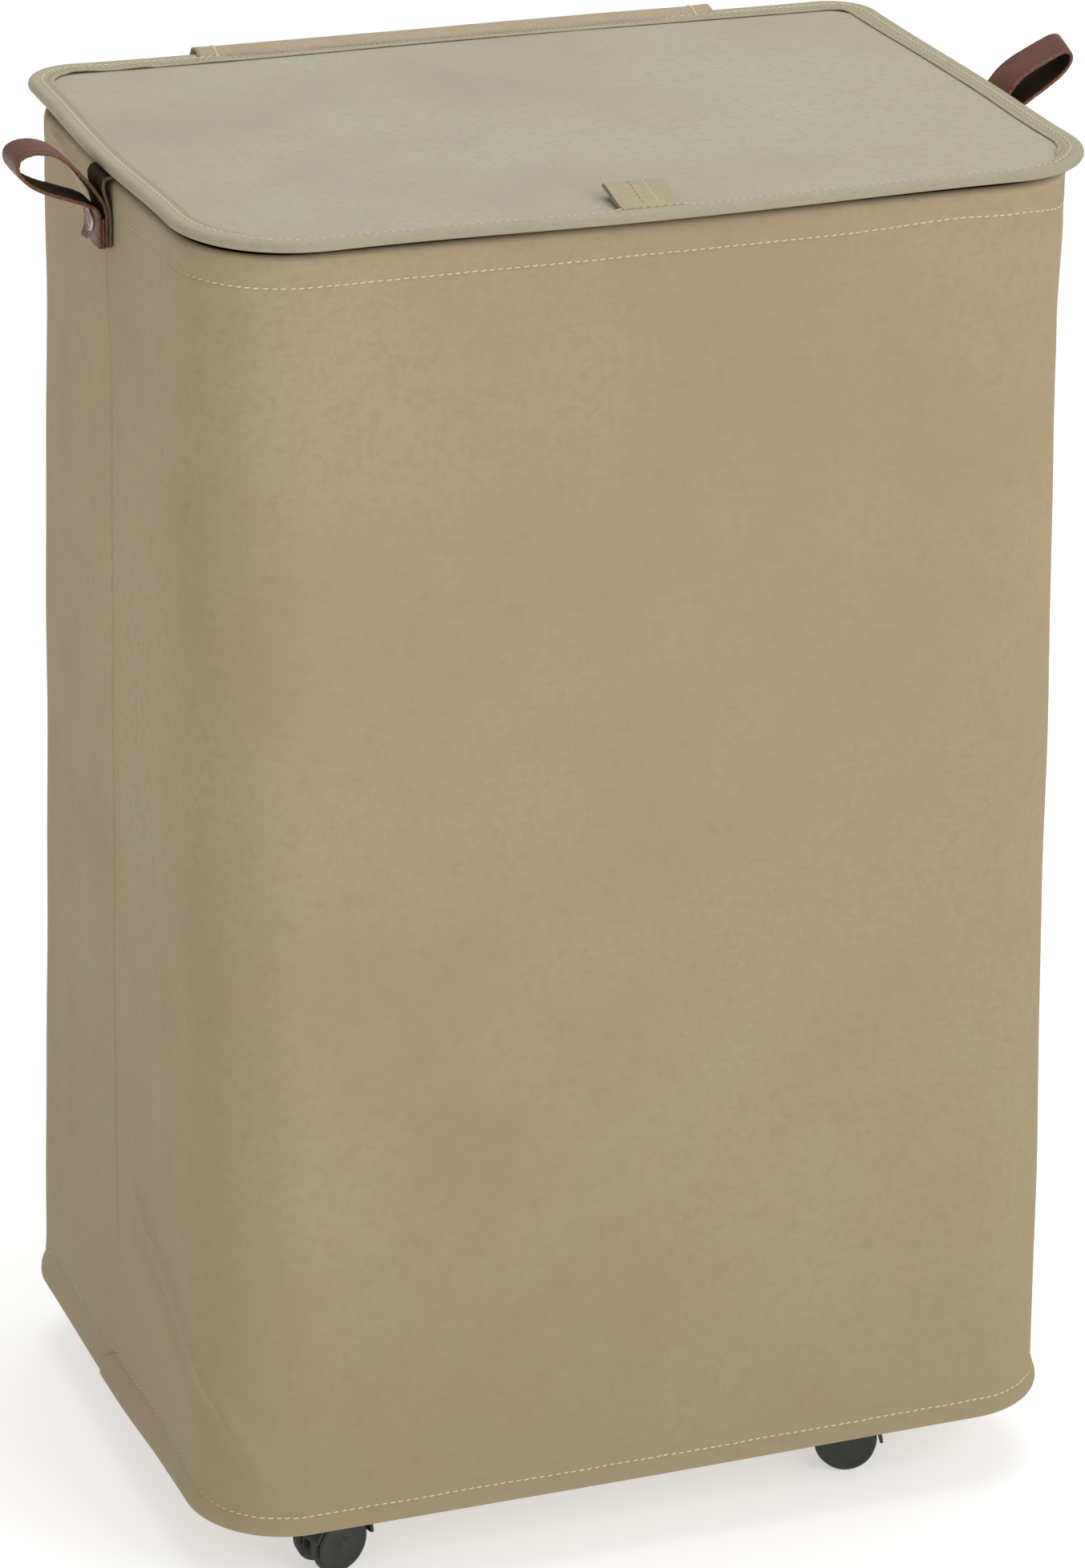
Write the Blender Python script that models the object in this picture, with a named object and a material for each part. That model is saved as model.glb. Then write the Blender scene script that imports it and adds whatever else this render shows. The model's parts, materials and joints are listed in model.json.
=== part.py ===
"""Rolling laundry hamper: a cloth body on two wire rings, a hinged cloth lid with a pull tab,
two leather side handles and four twin-wheel swivel casters.

Metres, +Z up. The origin is on the floor under the middle of the hamper. The front faces -Y.
"""

import math

import bmesh
import bpy
from mathutils import Vector

# Heights above the floor
HEM_RING_Z = 0.0450
TOP_OF_BODY_Z = 0.6985
LID_Z = 0.7050

# Outlines as (half width, half depth, corner radius, bow of each side at its middle)
HEM_OUTLINE = (0.2318, 0.1756, 0.0510, 0.0010)
WALL_FOOT_OUTLINE = (0.2288, 0.1726, 0.0480, 0.0010)
WALL_TOP_OUTLINE = (0.2260, 0.1520, 0.0530, 0.0010)
LID_OUTLINE = (0.2315, 0.1579, 0.0460, 0.0043)
BASE_CLOTH_OUTLINE = (0.2235, 0.1670, 0.0450, 0.0)
BOARD_OUTLINE = (0.2175, 0.1640, 0.0420, 0.0)

CORNER_STEPS = 5
SIDE_STOPS = (-0.5, 0.0, 0.5)

GAP = 0.0003
CLOTH = 0.0010
TAPE = 0.0007
RING_WIRE_R = 0.0020
CASING_R = 0.0033
HEM_LEAN = 0.0030
WALL_FOOT_Z = 0.0578
WALL_HEAD_Z = 0.6795

BOARD_T = 0.0060
BASE_CLOTH_Z = 0.0470
BOARD_Z = BASE_CLOTH_Z + CLOTH + GAP
NUT_SEAT_Z = BOARD_Z + 0.0017
STEM_TOP_Z = BOARD_Z + BOARD_T - GAP

ROD_X = 0.2205
ROD_Y = 0.0850
ROD_R = 0.00225
ROD_TOP_Z = 0.6860
SLEEVE_Z = (0.1000, 0.6650)

LID_BINDING_R = 0.0030
LID_BINDING_REACH = 0.0120
LID_CLOTH = 0.0012
LID_HINGE = (0.1655, 0.6997)
HINGE_TAPE_X = (-0.1330, 0.1470)

PULL_TAB_X = (-0.0250, 0.0060)
PULL_TAB_HINGE = (-0.1590, 0.7110)

STRAP_W = 0.0250
STRAP_T = 0.0016
HANDLE_Z = 0.6840
HANDLE_PIVOT_D = 0.0055
RIVET_Z = 0.6768
RIVET_R = 0.0015

STEM_X = 0.1440
STEM_Y = 0.1300
STEM_R = 0.0030
CASTER_TRAIL = 0.0165
WHEEL_R = 0.0165
WHEEL_FACES = (0.0023, 0.0115)
WHEEL_STEPS = 24
AXLE_R = 0.0015
HOOD_TOP_Z = 0.0449
FENDER_R = (0.0174, 0.0190)
FENDER_HALF_W = 0.0120
WEB_HALF_T = 0.0020
BOSS_R = 0.0070

# Swivel of each caster at rest, in degrees, turned from trailing towards -X
CASTERS = {
    "front_left": (-1, -1, 20),
    "front_right": (1, -1, -16),
    "rear_left": (-1, 1, -8),
    "rear_right": (1, 1, 14),
}

CANVAS = ("canvas", (0.40, 0.32, 0.20), 0.85, 0.0)
LID_CANVAS = ("lid_canvas", (0.46, 0.41, 0.29), 0.80, 0.0)
LEATHER = ("leather", (0.16, 0.045, 0.025), 0.45, 0.0)
STEEL = ("steel", (0.55, 0.55, 0.56), 0.35, 1.0)
NICKEL = ("nickel", (0.72, 0.70, 0.67), 0.25, 1.0)
HARDBOARD = ("hardboard", (0.22, 0.14, 0.08), 0.75, 0.0)
HOOD_PLASTIC = ("hood_plastic", (0.012, 0.012, 0.013), 0.40, 0.0)
WHEEL_PLASTIC = ("wheel_plastic", (0.018, 0.018, 0.017), 0.50, 0.0)


# ---------------------------------------------------------------- helpers


def clear_scene():
    for old in list(bpy.data.objects):
        bpy.data.objects.remove(old, do_unlink=True)


def material(finish):
    name, colour, roughness, metallic = finish
    found = bpy.data.materials.get(name)
    if found:
        return found
    made = bpy.data.materials.new(name)
    made.use_nodes = True
    shader = made.node_tree.nodes["Principled BSDF"]
    shader.inputs["Base Color"].default_value = (*colour, 1.0)
    shader.inputs["Roughness"].default_value = roughness
    shader.inputs["Metallic"].default_value = metallic
    return made


def solid(name, points, faces, finish=None, at=(0, 0, 0), parent=None, smooth=True):
    """A mesh object whose faces are turned outwards."""
    mesh = bpy.data.meshes.new(name)
    mesh.from_pydata([tuple(p) for p in points], [], faces)
    work = bmesh.new()
    work.from_mesh(mesh)
    bmesh.ops.recalc_face_normals(work, faces=work.faces)
    work.to_mesh(mesh)
    work.free()
    if smooth:
        mesh.shade_smooth()
        mesh.set_sharp_from_angle(angle=math.radians(35))
    obj = bpy.data.objects.new(name, mesh)
    bpy.context.scene.collection.objects.link(obj)
    obj.location = at
    obj.parent = parent
    if finish:
        mesh.materials.append(material(finish))
    return obj


def helper(obj):
    """Keeps an object out of the model: it is only a cutter or a piece of a union."""
    obj.hide_render = True
    obj.display_type = "WIRE"
    return obj


def combine(obj, other, operation):
    step = obj.modifiers.new(operation.lower(), "BOOLEAN")
    step.operation = operation
    step.object = helper(other)


def empty(name, at, turn_z=0.0):
    made = bpy.data.objects.new(name, None)
    bpy.context.scene.collection.objects.link(made)
    made.location = at
    made.rotation_euler.z = turn_z
    return made


def arc(centre, radius, start, end, steps):
    """Points on an arc, from start to end in degrees."""
    angles = [math.radians(start + (end - start) * i / steps) for i in range(steps + 1)]
    return [(centre[0] + radius * math.cos(a), centre[1] + radius * math.sin(a)) for a in angles]


def outline(shape, grow=0.0):
    """A rounded rectangle with bowed sides, from the middle of the left side round the front."""
    half_w, half_d, radius, bow = shape
    half_w, half_d, radius = half_w + grow, half_d + grow, radius + grow
    run_x, run_y = half_w - radius, half_d - radius
    swell = [bow * (1 - s * s) for s in SIDE_STOPS]
    front = [(s * run_x, -half_d - b) for s, b in zip(SIDE_STOPS, swell)]
    right = [(half_w + b, s * run_y) for s, b in zip(SIDE_STOPS, swell)]
    points = arc((-run_x, -run_y), radius, 180, 270, CORNER_STEPS) + front
    points += arc((run_x, -run_y), radius, 270, 360, CORNER_STEPS) + right
    points += arc((run_x, run_y), radius, 0, 90, CORNER_STEPS) + [(-x, -y) for x, y in front]
    points += arc((-run_x, run_y), radius, 90, 180, CORNER_STEPS) + [(-x, -y) for x, y in right]
    middle = len(SIDE_STOPS) // 2 + 1
    return points[-middle:] + points[:-middle]


def ring(name, section, shape, z, finish):
    """Sweeps a closed section of (outward, up) points round an outline."""
    loops = [[(x, y, z + up) for x, y in outline(shape, out)] for out, up in section]
    count, around = len(loops), len(loops[0])
    points = [p for loop in loops for p in loop]
    faces = []
    for i in range(count):
        for j in range(around):
            i2, j2 = (i + 1) % count, (j + 1) % around
            faces.append((i * around + j, i * around + j2, i2 * around + j2, i2 * around + j))
    return solid(name, points, faces, finish)


def plate(name, shape, low, high, finish):
    loop = outline(shape)
    around = len(loop)
    points = [(x, y, low) for x, y in loop] + [(x, y, high) for x, y in loop]
    sides = [(j, (j + 1) % around, around + (j + 1) % around, around + j) for j in range(around)]
    return solid(name, points, [tuple(range(around)), tuple(range(around, 2 * around))] + sides, finish)


def extrude(name, section, place, low, high, finish=None, **more):
    """Extrudes a closed section of 2-D points from low to high; place turns (a, b, along) to (x, y, z)."""
    count = len(section)
    points = [place(a, b, low) for a, b in section] + [place(a, b, high) for a, b in section]
    sides = [(i, (i + 1) % count, count + (i + 1) % count, count + i) for i in range(count)]
    ends = [tuple(range(count)), tuple(range(count, 2 * count))]
    return solid(name, points, ends + sides, finish, **more)


def turned(name, profile, steps, place, finish=None, closed=False, phase=0.0, **more):
    """Turns a profile of (radius, along) points; an open profile starts and ends on the axis."""
    inner = profile if closed else profile[1:-1]
    points, faces = [], []
    for radius, along in inner:
        for k in range(steps):
            angle = 2 * math.pi * (k + phase) / steps
            points.append(place(radius * math.cos(angle), radius * math.sin(angle), along))
    rows = len(inner)
    for i in range(rows if closed else rows - 1):
        for k in range(steps):
            i2, k2 = (i + 1) % rows, (k + 1) % steps
            faces.append((i * steps + k, i * steps + k2, i2 * steps + k2, i2 * steps + k))
    if not closed:
        faces += [tuple(range(steps)), tuple(range((rows - 1) * steps, rows * steps))]
    return solid(name, points, faces, finish, **more)


def smooth_route(stops, per_span=4):
    """Points on a Catmull-Rom curve through the stops."""
    line = [Vector(s) for s in stops]
    line = [2 * line[0] - line[1]] + line + [2 * line[-1] - line[-2]]
    route = []
    for a, b, c, d in zip(line, line[1:], line[2:], line[3:]):
        for i in range(per_span):
            t = i / per_span
            route.append(
                0.5 * (2 * b + (c - a) * t + (2 * a - 5 * b + 4 * c - d) * t * t
                       + (3 * b - 3 * c + d - a) * t ** 3)
            )
    return route + [line[-2]]


def ribbon(route, thickness):
    """The closed section of a strip of this thickness along a route of 2-D points."""
    line = [Vector(p) for p in route]
    left, right = [], []
    for i, point in enumerate(line):
        ahead = line[min(i + 1, len(line) - 1)] - line[max(i - 1, 0)]
        side = Vector((-ahead.y, ahead.x)).normalized() * thickness / 2
        left.append(point + side)
        right.append(point - side)
    return [tuple(p) for p in left + right[::-1]]


def along_x(a, b, s):
    return (s, a, b)


def along_y(a, b, s):
    return (a, s, b)


def along_z(a, b, s):
    return (a, b, s)


def wall_outline(z):
    """The outline of the wall's outer face at a height."""
    t = (z - WALL_FOOT_Z) / (TOP_OF_BODY_Z - WALL_FOOT_Z)
    return tuple(a + (b - a) * t for a, b in zip(WALL_FOOT_OUTLINE, WALL_TOP_OUTLINE))


def side_x(z):
    """How far the wall's outer face is from the middle, at the middle of a side."""
    half_w, _, _, bow = wall_outline(z)
    return half_w + bow


# ---------------------------------------------------------------- cloth body


def wrap_panel(name, facing):
    """Half of the body's wall, from seam to seam round the front (facing -1) or the rear (+1)."""
    heights = [WALL_FOOT_Z + (WALL_HEAD_Z - WALL_FOOT_Z) * k / 2 for k in range(3)]
    rows = []
    for z in heights:
        for inset in (0.0, -CLOTH):
            loop = outline(wall_outline(z), inset)
            half = loop[: len(loop) // 2 + 1]
            half[0] = (half[0][0], -GAP / 2)
            half[-1] = (half[-1][0], -GAP / 2)
            rows.append([(x, -facing * y, z) for x, y in half])
    around = len(rows[0])
    points = [p for row in rows for p in row]
    faces = []
    for j in range(around - 1):
        for level in range(len(heights) - 1):
            for skin in (0, 1):
                a = (2 * level + skin) * around + j
                b = a + 2 * around
                faces.append((a, a + 1, b + 1, b))
        for level in (0, len(heights) - 1):
            a = 2 * level * around + j
            faces.append((a, a + 1, a + 1 + around, a + around))
    for j in (0, around - 1):
        for level in range(len(heights) - 1):
            a = 2 * level * around + j
            faces.append((a, a + around, a + 3 * around, a + 2 * around))
    return solid(name, points, faces, CANVAS)


def casing_section(leaf, tail, lean, flip):
    """A strip of cloth folded round a wire: an outer leaf, the round and a longer inner leaf."""
    centre = (-CASING_R, -CASING_R)
    inside = CASING_R - CLOTH
    fold_end = 230
    neck, part_lean = 0.0088, 0.42 * lean
    back, face = 2.4 * CLOTH, 1.4 * CLOTH
    outer = [(-lean, -leaf)] + arc(centre, CASING_R, 0, fold_end, 5)
    outer += [(-back - part_lean, -neck - 0.0002), (-back - lean, -leaf), (-back - lean, -tail)]
    inner = [(-face - lean, -tail), (-face - lean, -leaf), (-face - part_lean, -neck + 0.0002)]
    inner += arc(centre, inside, fold_end, 0, 5) + [(-CLOTH - lean, -leaf)]
    return [(out, up * flip) for out, up in outer + inner]


def top_hem():
    leaf = TOP_OF_BODY_Z - WALL_HEAD_Z - GAP
    section = casing_section(leaf, 0.027, 0.0, 1)
    ring("top_hem_casing", section, WALL_TOP_OUTLINE, TOP_OF_BODY_Z, CANVAS)


def bottom_hem():
    foot = HEM_RING_Z - CASING_R
    leaf = WALL_FOOT_Z - foot - GAP
    section = casing_section(leaf, 0.022, HEM_LEAN, -1)
    ring("bottom_hem_casing", section, HEM_OUTLINE, foot, CANVAS)


def ring_wire(name, shape, z):
    section = arc((-CASING_R, 0), RING_WIRE_R, 0, 300, 5)
    ring(name, section, shape, z, STEEL)


def seam_tape(name, side):
    """A narrow tape inside the wall, over the seam where the two wall panels meet."""
    low, high = 0.070, 0.664
    half_w = 0.007
    points = []
    for z in (low, high):
        face = side_x(z) - CLOTH - GAP
        for x, y in ((face, -half_w), (face, half_w), (face - TAPE, half_w), (face - TAPE, -half_w)):
            points.append((side * x, y, z))
    faces = [(0, 1, 2, 3), (4, 5, 6, 7), (0, 1, 5, 4), (1, 2, 6, 5), (2, 3, 7, 6), (3, 0, 4, 7)]
    solid(name, points, faces, CANVAS)


def cloth_body():
    front = wrap_panel("front_wrap_panel", -1)
    rear = wrap_panel("rear_wrap_panel", 1)
    top_hem()
    bottom_hem()
    ring_wire("top_ring_wire", WALL_TOP_OUTLINE, TOP_OF_BODY_Z - CASING_R)
    ring_wire("bottom_ring_wire", HEM_OUTLINE, HEM_RING_Z)
    seam_tape("left_seam_tape", -1)
    seam_tape("right_seam_tape", 1)
    return front, rear, bpy.data.objects["top_hem_casing"]


def base():
    cloth = plate("base_cloth", BASE_CLOTH_OUTLINE, BASE_CLOTH_Z, BASE_CLOTH_Z + CLOTH, CANVAS)
    board = plate("base_board", BOARD_OUTLINE, BOARD_Z, BOARD_Z + BOARD_T, HARDBOARD)
    return cloth, board


def stay_rod(name, side_x_sign, side_y_sign):
    """A straight rod that holds the wall up, in its cloth sleeve; it stands on the base cloth beside the board."""
    at = (side_x_sign * ROD_X, side_y_sign * ROD_Y, 0)
    low = BOARD_Z
    rod = [(0, low), (ROD_R, low), (ROD_R, ROD_TOP_Z), (0, ROD_TOP_Z)]
    turned(f"stay_rod_{name}", rod, 8, along_z, STEEL, at=at)
    inner, outer = 0.0026, 0.0033
    low, high = SLEEVE_Z
    sleeve = [(inner, low), (outer, low), (outer, high), (inner, high)]
    turned(f"rod_sleeve_{name}", sleeve, 8, along_z, CANVAS, closed=True, at=at)


# ---------------------------------------------------------------- lid


def lid():
    centre = (-LID_BINDING_R, 0)
    leg_top, leg_low = 0.0016, 0.0009
    outer = arc(centre, LID_BINDING_R, 148, -148, 6)
    inner = arc(centre, LID_BINDING_R - TAPE, -157, 157, 6)
    reach = -LID_BINDING_REACH
    section = [(reach, leg_top)] + outer + [(reach, -leg_top), (reach, -leg_low)] + inner
    section.append((reach, leg_low))
    ring("lid_binding", section, LID_OUTLINE, LID_Z, LID_CANVAS)
    ring("lid_ring_wire", arc(centre, RING_WIRE_R, 0, 300, 5), LID_OUTLINE, LID_Z, STEEL)
    inset = 0.0054
    panel = (LID_OUTLINE[0] - inset, LID_OUTLINE[1] - inset, LID_OUTLINE[2] - inset, LID_OUTLINE[3])
    plate("lid_panel", panel, LID_Z - LID_CLOTH / 2, LID_Z + LID_CLOTH / 2, LID_CANVAS)


def lid_hinge_tape():
    """One strip sewn on the lid and one on the rear wall. The cloth is whole; the two solids stop short of the
    hinge's axis, so that the lid can hang down behind."""
    tape = 0.0008
    upper = [(0.1465, 0.7090), (0.1560, 0.7093), (0.1610, 0.7087), (0.1632, 0.7060)]
    lower = [(0.1544, 0.6680), (0.1544, 0.6860), (0.1570, 0.6910)]
    hinge = empty("lid_hinge_axis", (0, *LID_HINGE))
    moved = [(y - LID_HINGE[0], z - LID_HINGE[1]) for y, z in upper]
    low, high = HINGE_TAPE_X
    extrude("hinge_tape_lid_side", ribbon(moved, tape), along_x, low, high, LID_CANVAS, parent=hinge)
    extrude("hinge_tape_body_side", ribbon(lower, tape), along_x, low, high, CANVAS)


def pull_tab():
    """A strip of cloth folded into a flat loop, sewn to the lid's front edge and laid back on it."""
    stops = [
        (-0.1575, 0.7093), (-0.1450, 0.7090), (-0.1240, 0.7090), (-0.1196, 0.7111),
        (-0.1240, 0.7146), (-0.1400, 0.7162), (-0.1520, 0.7147), (-0.1578, 0.7121),
    ]
    moved = [(y - PULL_TAB_HINGE[0], z - PULL_TAB_HINGE[1]) for y, z in stops]
    hinge = empty("pull_tab_axis", (0, *PULL_TAB_HINGE))
    section = ribbon(smooth_route(moved, 3), 0.0009)
    extrude("pull_tab", section, along_x, *PULL_TAB_X, LID_CANVAS, parent=hinge)


# ---------------------------------------------------------------- leather handles


def handle(name, side, wall_parts):
    """A strap loop above a stack of strap ends; d is the distance out from the wall."""
    wall = side_x(HANDLE_Z) + GAP
    half = STRAP_W / 2

    def out(stops, origin=0.0):
        return [(side * (wall + d) - origin, z) for d, z in stops]

    # The loop leaves the stack, opens up and outwards, and comes back above itself
    pivot = side * (wall + HANDLE_PIVOT_D)
    axis = empty(f"{name}_handle_axis", (pivot, 0, HANDLE_Z))
    loop_stops = [
        (0.0066, 0.0008), (0.0115, 0.0050), (0.0210, 0.0083), (0.0330, 0.0126), (0.0430, 0.0184),
        (0.0468, 0.0252), (0.0428, 0.0305), (0.0340, 0.0314), (0.0250, 0.0272), (0.0165, 0.0182),
        (0.0092, 0.0095), (0.0042, 0.0012),
    ]
    route = smooth_route(out(loop_stops, pivot), 2)
    extrude(f"{name}_handle_loop", ribbon(route, STRAP_T), along_y, -half, half, LEATHER, parent=axis)

    # The strap ends that hang under the loop
    foot, head = 0.6655, HANDLE_Z - 0.0021
    ends = out([(0.0025, foot), (0.0070, foot), (0.0070, head), (0.0025, head)])
    tail = extrude(f"{name}_handle_tail", ends, along_y, -half, half, LEATHER)

    # The strap behind them that runs up to the lid's edge
    hanger_stops = [(0.0010, foot), (0.0010, 0.6830), (0.0016, 0.6900), (0.0024, 0.6965)]
    hanger_section = ribbon(out(hanger_stops), STRAP_T)
    hanger = extrude(f"{name}_hanger_strap", hanger_section, along_y, -half, half, LEATHER)

    # The rivet through the straps and the wall
    head_in, head_out = -0.0050, 0.0073
    profile = [
        (0, head_in), (0.0036, head_in), (0.0040, head_in + 0.0008), (RIVET_R, head_in + 0.0009),
        (RIVET_R, head_out), (0.0048, head_out), (0.0044, head_out + 0.0009),
        (0.0024, head_out + 0.0016), (0, head_out + 0.0017),
    ]

    def place(a, b, s):
        return (side * (wall + s), a, RIVET_Z + b)

    turned(f"{name}_handle_rivet", profile, 12, place, NICKEL)
    bore_r = RIVET_R + GAP
    bore = [(0, -0.0070), (bore_r, -0.0070), (bore_r, 0.0100), (0, 0.0100)]
    cutter = turned(f"{name}_rivet_bore", bore, 12, place, phase=0.5)
    for part in (tail, hanger, *wall_parts):
        combine(part, cutter, "DIFFERENCE")


# ---------------------------------------------------------------- casters


def caster_hood(name, axis):
    """The hood over the two wheels: a web between them, a fender and a boss for the stem."""
    axle = (-CASTER_TRAIL, WHEEL_R)
    mid_r = sum(FENDER_R) / 2
    web = arc(axle, mid_r, 8, 40, 3) + [(BOSS_R * 0.9, 0.0330), (BOSS_R * 0.9, 0.0375)]
    web += [(-BOSS_R * 0.9, 0.0375)] + arc(axle, mid_r, 80, 155, 6) + arc(axle, 0.004, 180, 340, 6)
    hood = extrude(
        f"hood_{name}", web, along_y, -WEB_HALF_T, WEB_HALF_T, HOOD_PLASTIC, parent=axis
    )
    fender = arc(axle, FENDER_R[1], 2, 160, 12) + arc(axle, FENDER_R[0], 160, 2, 12)
    combine(
        hood,
        extrude(f"fender_{name}", fender, along_y, -FENDER_HALF_W, FENDER_HALF_W, parent=axis),
        "UNION",
    )
    boss = [(0, 0.0352), (BOSS_R, 0.0352), (BOSS_R, HOOD_TOP_Z), (0, HOOD_TOP_Z)]
    combine(hood, turned(f"boss_{name}", boss, 16, along_z, parent=axis), "UNION")
    socket_r, floor = STEM_R + GAP, 0.0366
    socket = [(0, floor), (socket_r, floor), (socket_r, 0.0500), (0, 0.0500)]
    combine(hood, turned(f"socket_{name}", socket, 12, along_z, parent=axis), "DIFFERENCE")
    bore_r, reach = AXLE_R + GAP, 0.004
    bore = [(0, -reach), (bore_r, -reach), (bore_r, reach), (0, reach)]
    combine(
        hood,
        turned(f"axle_bore_{name}", bore, 12, wheel_place(1), at=(*axle_at(), WHEEL_R), parent=axis),
        "DIFFERENCE",
    )


def axle_at():
    return (-CASTER_TRAIL, 0.0)


def wheel_place(side):
    def place(a, b, s):
        return (b, side * s, a)

    return place


def caster(name, side_x_sign, side_y_sign, turn):
    x, y = side_x_sign * STEM_X, side_y_sign * STEM_Y
    axis = empty(f"caster_axis_{name}", (x, y, 0), math.radians(turn))
    caster_hood(name, axis)

    # The stem: a flange under the base, a threaded shank up into a nut sunk in the board, a pin into the hood
    flange_top = BASE_CLOTH_Z - GAP
    flange_low = HOOD_TOP_Z + GAP
    stem = [
        (0, 0.0370), (STEM_R, 0.0370), (STEM_R, flange_low), (0.0100, flange_low),
        (0.0100, flange_top), (STEM_R, flange_top), (STEM_R, STEM_TOP_Z), (0, STEM_TOP_Z),
    ]
    turned(f"caster_stem_{name}", stem, 12, along_z, STEEL, at=(x, y, 0))
    flats, corners, bore_r = 0.0050, 0.0050 / math.cos(math.radians(30)), STEM_R + GAP
    points = []
    for z in (NUT_SEAT_Z + GAP, STEM_TOP_Z):
        for k in range(12):
            angle = math.radians(30 * k)
            for radius in (corners if k % 2 == 0 else flats, bore_r):
                points.append((radius * math.cos(angle), radius * math.sin(angle), z))
    faces = []
    for k in range(12):
        a, b = 2 * k, 2 * ((k + 1) % 12)
        faces += [(a, b, b + 1, a + 1), (a + 24, b + 24, b + 25, a + 25)]
        faces += [(a, b, b + 24, a + 24), (a + 1, b + 1, b + 25, a + 25)]
    solid(f"caster_nut_{name}", points, faces, STEEL, at=(x, y, 0))
    recess_r = corners + GAP
    bore = [
        (0, 0.0460), (bore_r, 0.0460), (bore_r, NUT_SEAT_Z), (recess_r, NUT_SEAT_Z), (recess_r, 0.0560),
        (0, 0.0560),
    ]
    cutter = turned(f"stem_bore_{name}", bore, 12, along_z, at=(x, y, 0))

    reach = 0.0090
    pin = [(0, -reach), (AXLE_R, -reach), (AXLE_R, reach), (0, reach)]
    at = (*axle_at(), WHEEL_R)
    turned(f"axle_{name}", pin, 8, wheel_place(1), STEEL, at=at, parent=axis)
    inner, outer = WHEEL_FACES
    hub_r = AXLE_R + GAP
    profile = [
        (0, outer), (0.0125, outer), (0.0150, outer - 0.0006), (WHEEL_R, outer - 0.0022),
        (WHEEL_R, inner + 0.0012), (WHEEL_R - 0.0012, inner), (hub_r, inner),
        (hub_r, reach + GAP), (0, reach + GAP),
    ]
    for label, side in (("a", -1), ("b", 1)):
        turned(
            f"wheel_{name}_{label}", profile, WHEEL_STEPS, wheel_place(side), WHEEL_PLASTIC,
            at=at, parent=axis,
        )
    return cutter


# ---------------------------------------------------------------- the hamper


def main():
    clear_scene()
    wall_parts = cloth_body()
    base_parts = base()
    for name, (side_x_sign, side_y_sign, turn) in CASTERS.items():
        stay_rod(name, side_x_sign, side_y_sign)
        cutter = caster(name, side_x_sign, side_y_sign, turn)
        for part in base_parts:
            combine(part, cutter, "DIFFERENCE")
    lid()
    lid_hinge_tape()
    pull_tab()
    handle("left", -1, wall_parts)
    handle("right", 1, wall_parts)


main()
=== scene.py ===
"""Looks of a rolling laundry hamper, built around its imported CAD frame.

Metres, +Z up, the front faces -Y. Cloth, thread, leather and caster shells are made here in mesh code.
"""

import json
import math

import bmesh
import bpy
import numpy as np
from mathutils import Matrix, Vector


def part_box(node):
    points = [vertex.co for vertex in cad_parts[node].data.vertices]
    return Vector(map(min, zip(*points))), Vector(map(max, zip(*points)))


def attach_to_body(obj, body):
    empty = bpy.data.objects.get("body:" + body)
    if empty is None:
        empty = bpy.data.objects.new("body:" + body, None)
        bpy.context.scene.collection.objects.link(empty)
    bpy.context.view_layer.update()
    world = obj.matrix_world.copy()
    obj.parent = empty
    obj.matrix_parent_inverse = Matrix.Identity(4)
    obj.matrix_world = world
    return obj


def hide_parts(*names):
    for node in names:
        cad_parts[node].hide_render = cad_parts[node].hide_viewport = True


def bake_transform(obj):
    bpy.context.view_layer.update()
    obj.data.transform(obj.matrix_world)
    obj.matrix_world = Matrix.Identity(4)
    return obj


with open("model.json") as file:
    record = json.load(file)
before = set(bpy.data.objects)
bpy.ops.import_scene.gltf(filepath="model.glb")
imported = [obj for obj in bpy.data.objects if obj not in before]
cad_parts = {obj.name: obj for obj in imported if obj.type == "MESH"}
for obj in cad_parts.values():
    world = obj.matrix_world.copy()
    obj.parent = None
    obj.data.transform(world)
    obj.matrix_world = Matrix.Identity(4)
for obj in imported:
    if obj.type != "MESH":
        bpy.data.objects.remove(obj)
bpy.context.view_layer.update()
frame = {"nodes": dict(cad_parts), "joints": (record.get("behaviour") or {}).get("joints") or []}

BODY = "hamper_body"
CASTERS = ("front_left", "front_right", "rear_left", "rear_right")

# ---------------- sizes, from the frame and the cloth

HEM_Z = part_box("bottom_hem_casing")[0].z
RIM_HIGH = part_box("top_hem_casing")[1]
WALL_LOW, WALL_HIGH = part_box("front_wrap_panel")
LID_LOW, LID_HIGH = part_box("lid_binding")

# Outlines as (half width, half depth, corner radius, bow of each side at its middle)
WALL_BOW = 0.0010
FOOT = np.array([WALL_HIGH.x - WALL_BOW, -WALL_LOW.y - WALL_BOW, 0.0480, WALL_BOW])
RIM = np.array([RIM_HIGH.x - WALL_BOW, RIM_HIGH.y - WALL_BOW, 0.0530, WALL_BOW])
FOOT_Z, RIM_Z = WALL_LOW.z, RIM_HIGH.z
LID_Z = (LID_LOW.z + LID_HIGH.z) / 2

CLOTH = 0.0010
LID_CLOTH = 0.0012
STRIP_CLOTH = 0.0009
# Outer radii of the casings round the body's wires and of the binding round the lid's
CASING_R, BINDING_R = 0.0033, 0.0030
# How far the lower hem stands out from the wall, and where its wire's middle is: (out, height)
HEM_OUT = 0.0030
HEM_WIRE = (HEM_OUT - CASING_R, HEM_Z + CASING_R)
TOP_STITCH_Z = RIM_Z - 0.0150
HEM_STITCH_Z = HEM_Z + 0.0104


# ---------------- numbers and curves


def ease(x, low, high):
    """Rises smoothly from 0 at low to 1 at high."""
    t = np.clip((np.asarray(x, float) - low) / (high - low), 0, 1)
    return t * t * (3 - 2 * t)


def bump(x, centre, half):
    """1 at the centre, falling smoothly to 0 about two halves away."""
    return np.exp(-(((np.asarray(x, float) - centre) / half) ** 2))


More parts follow.
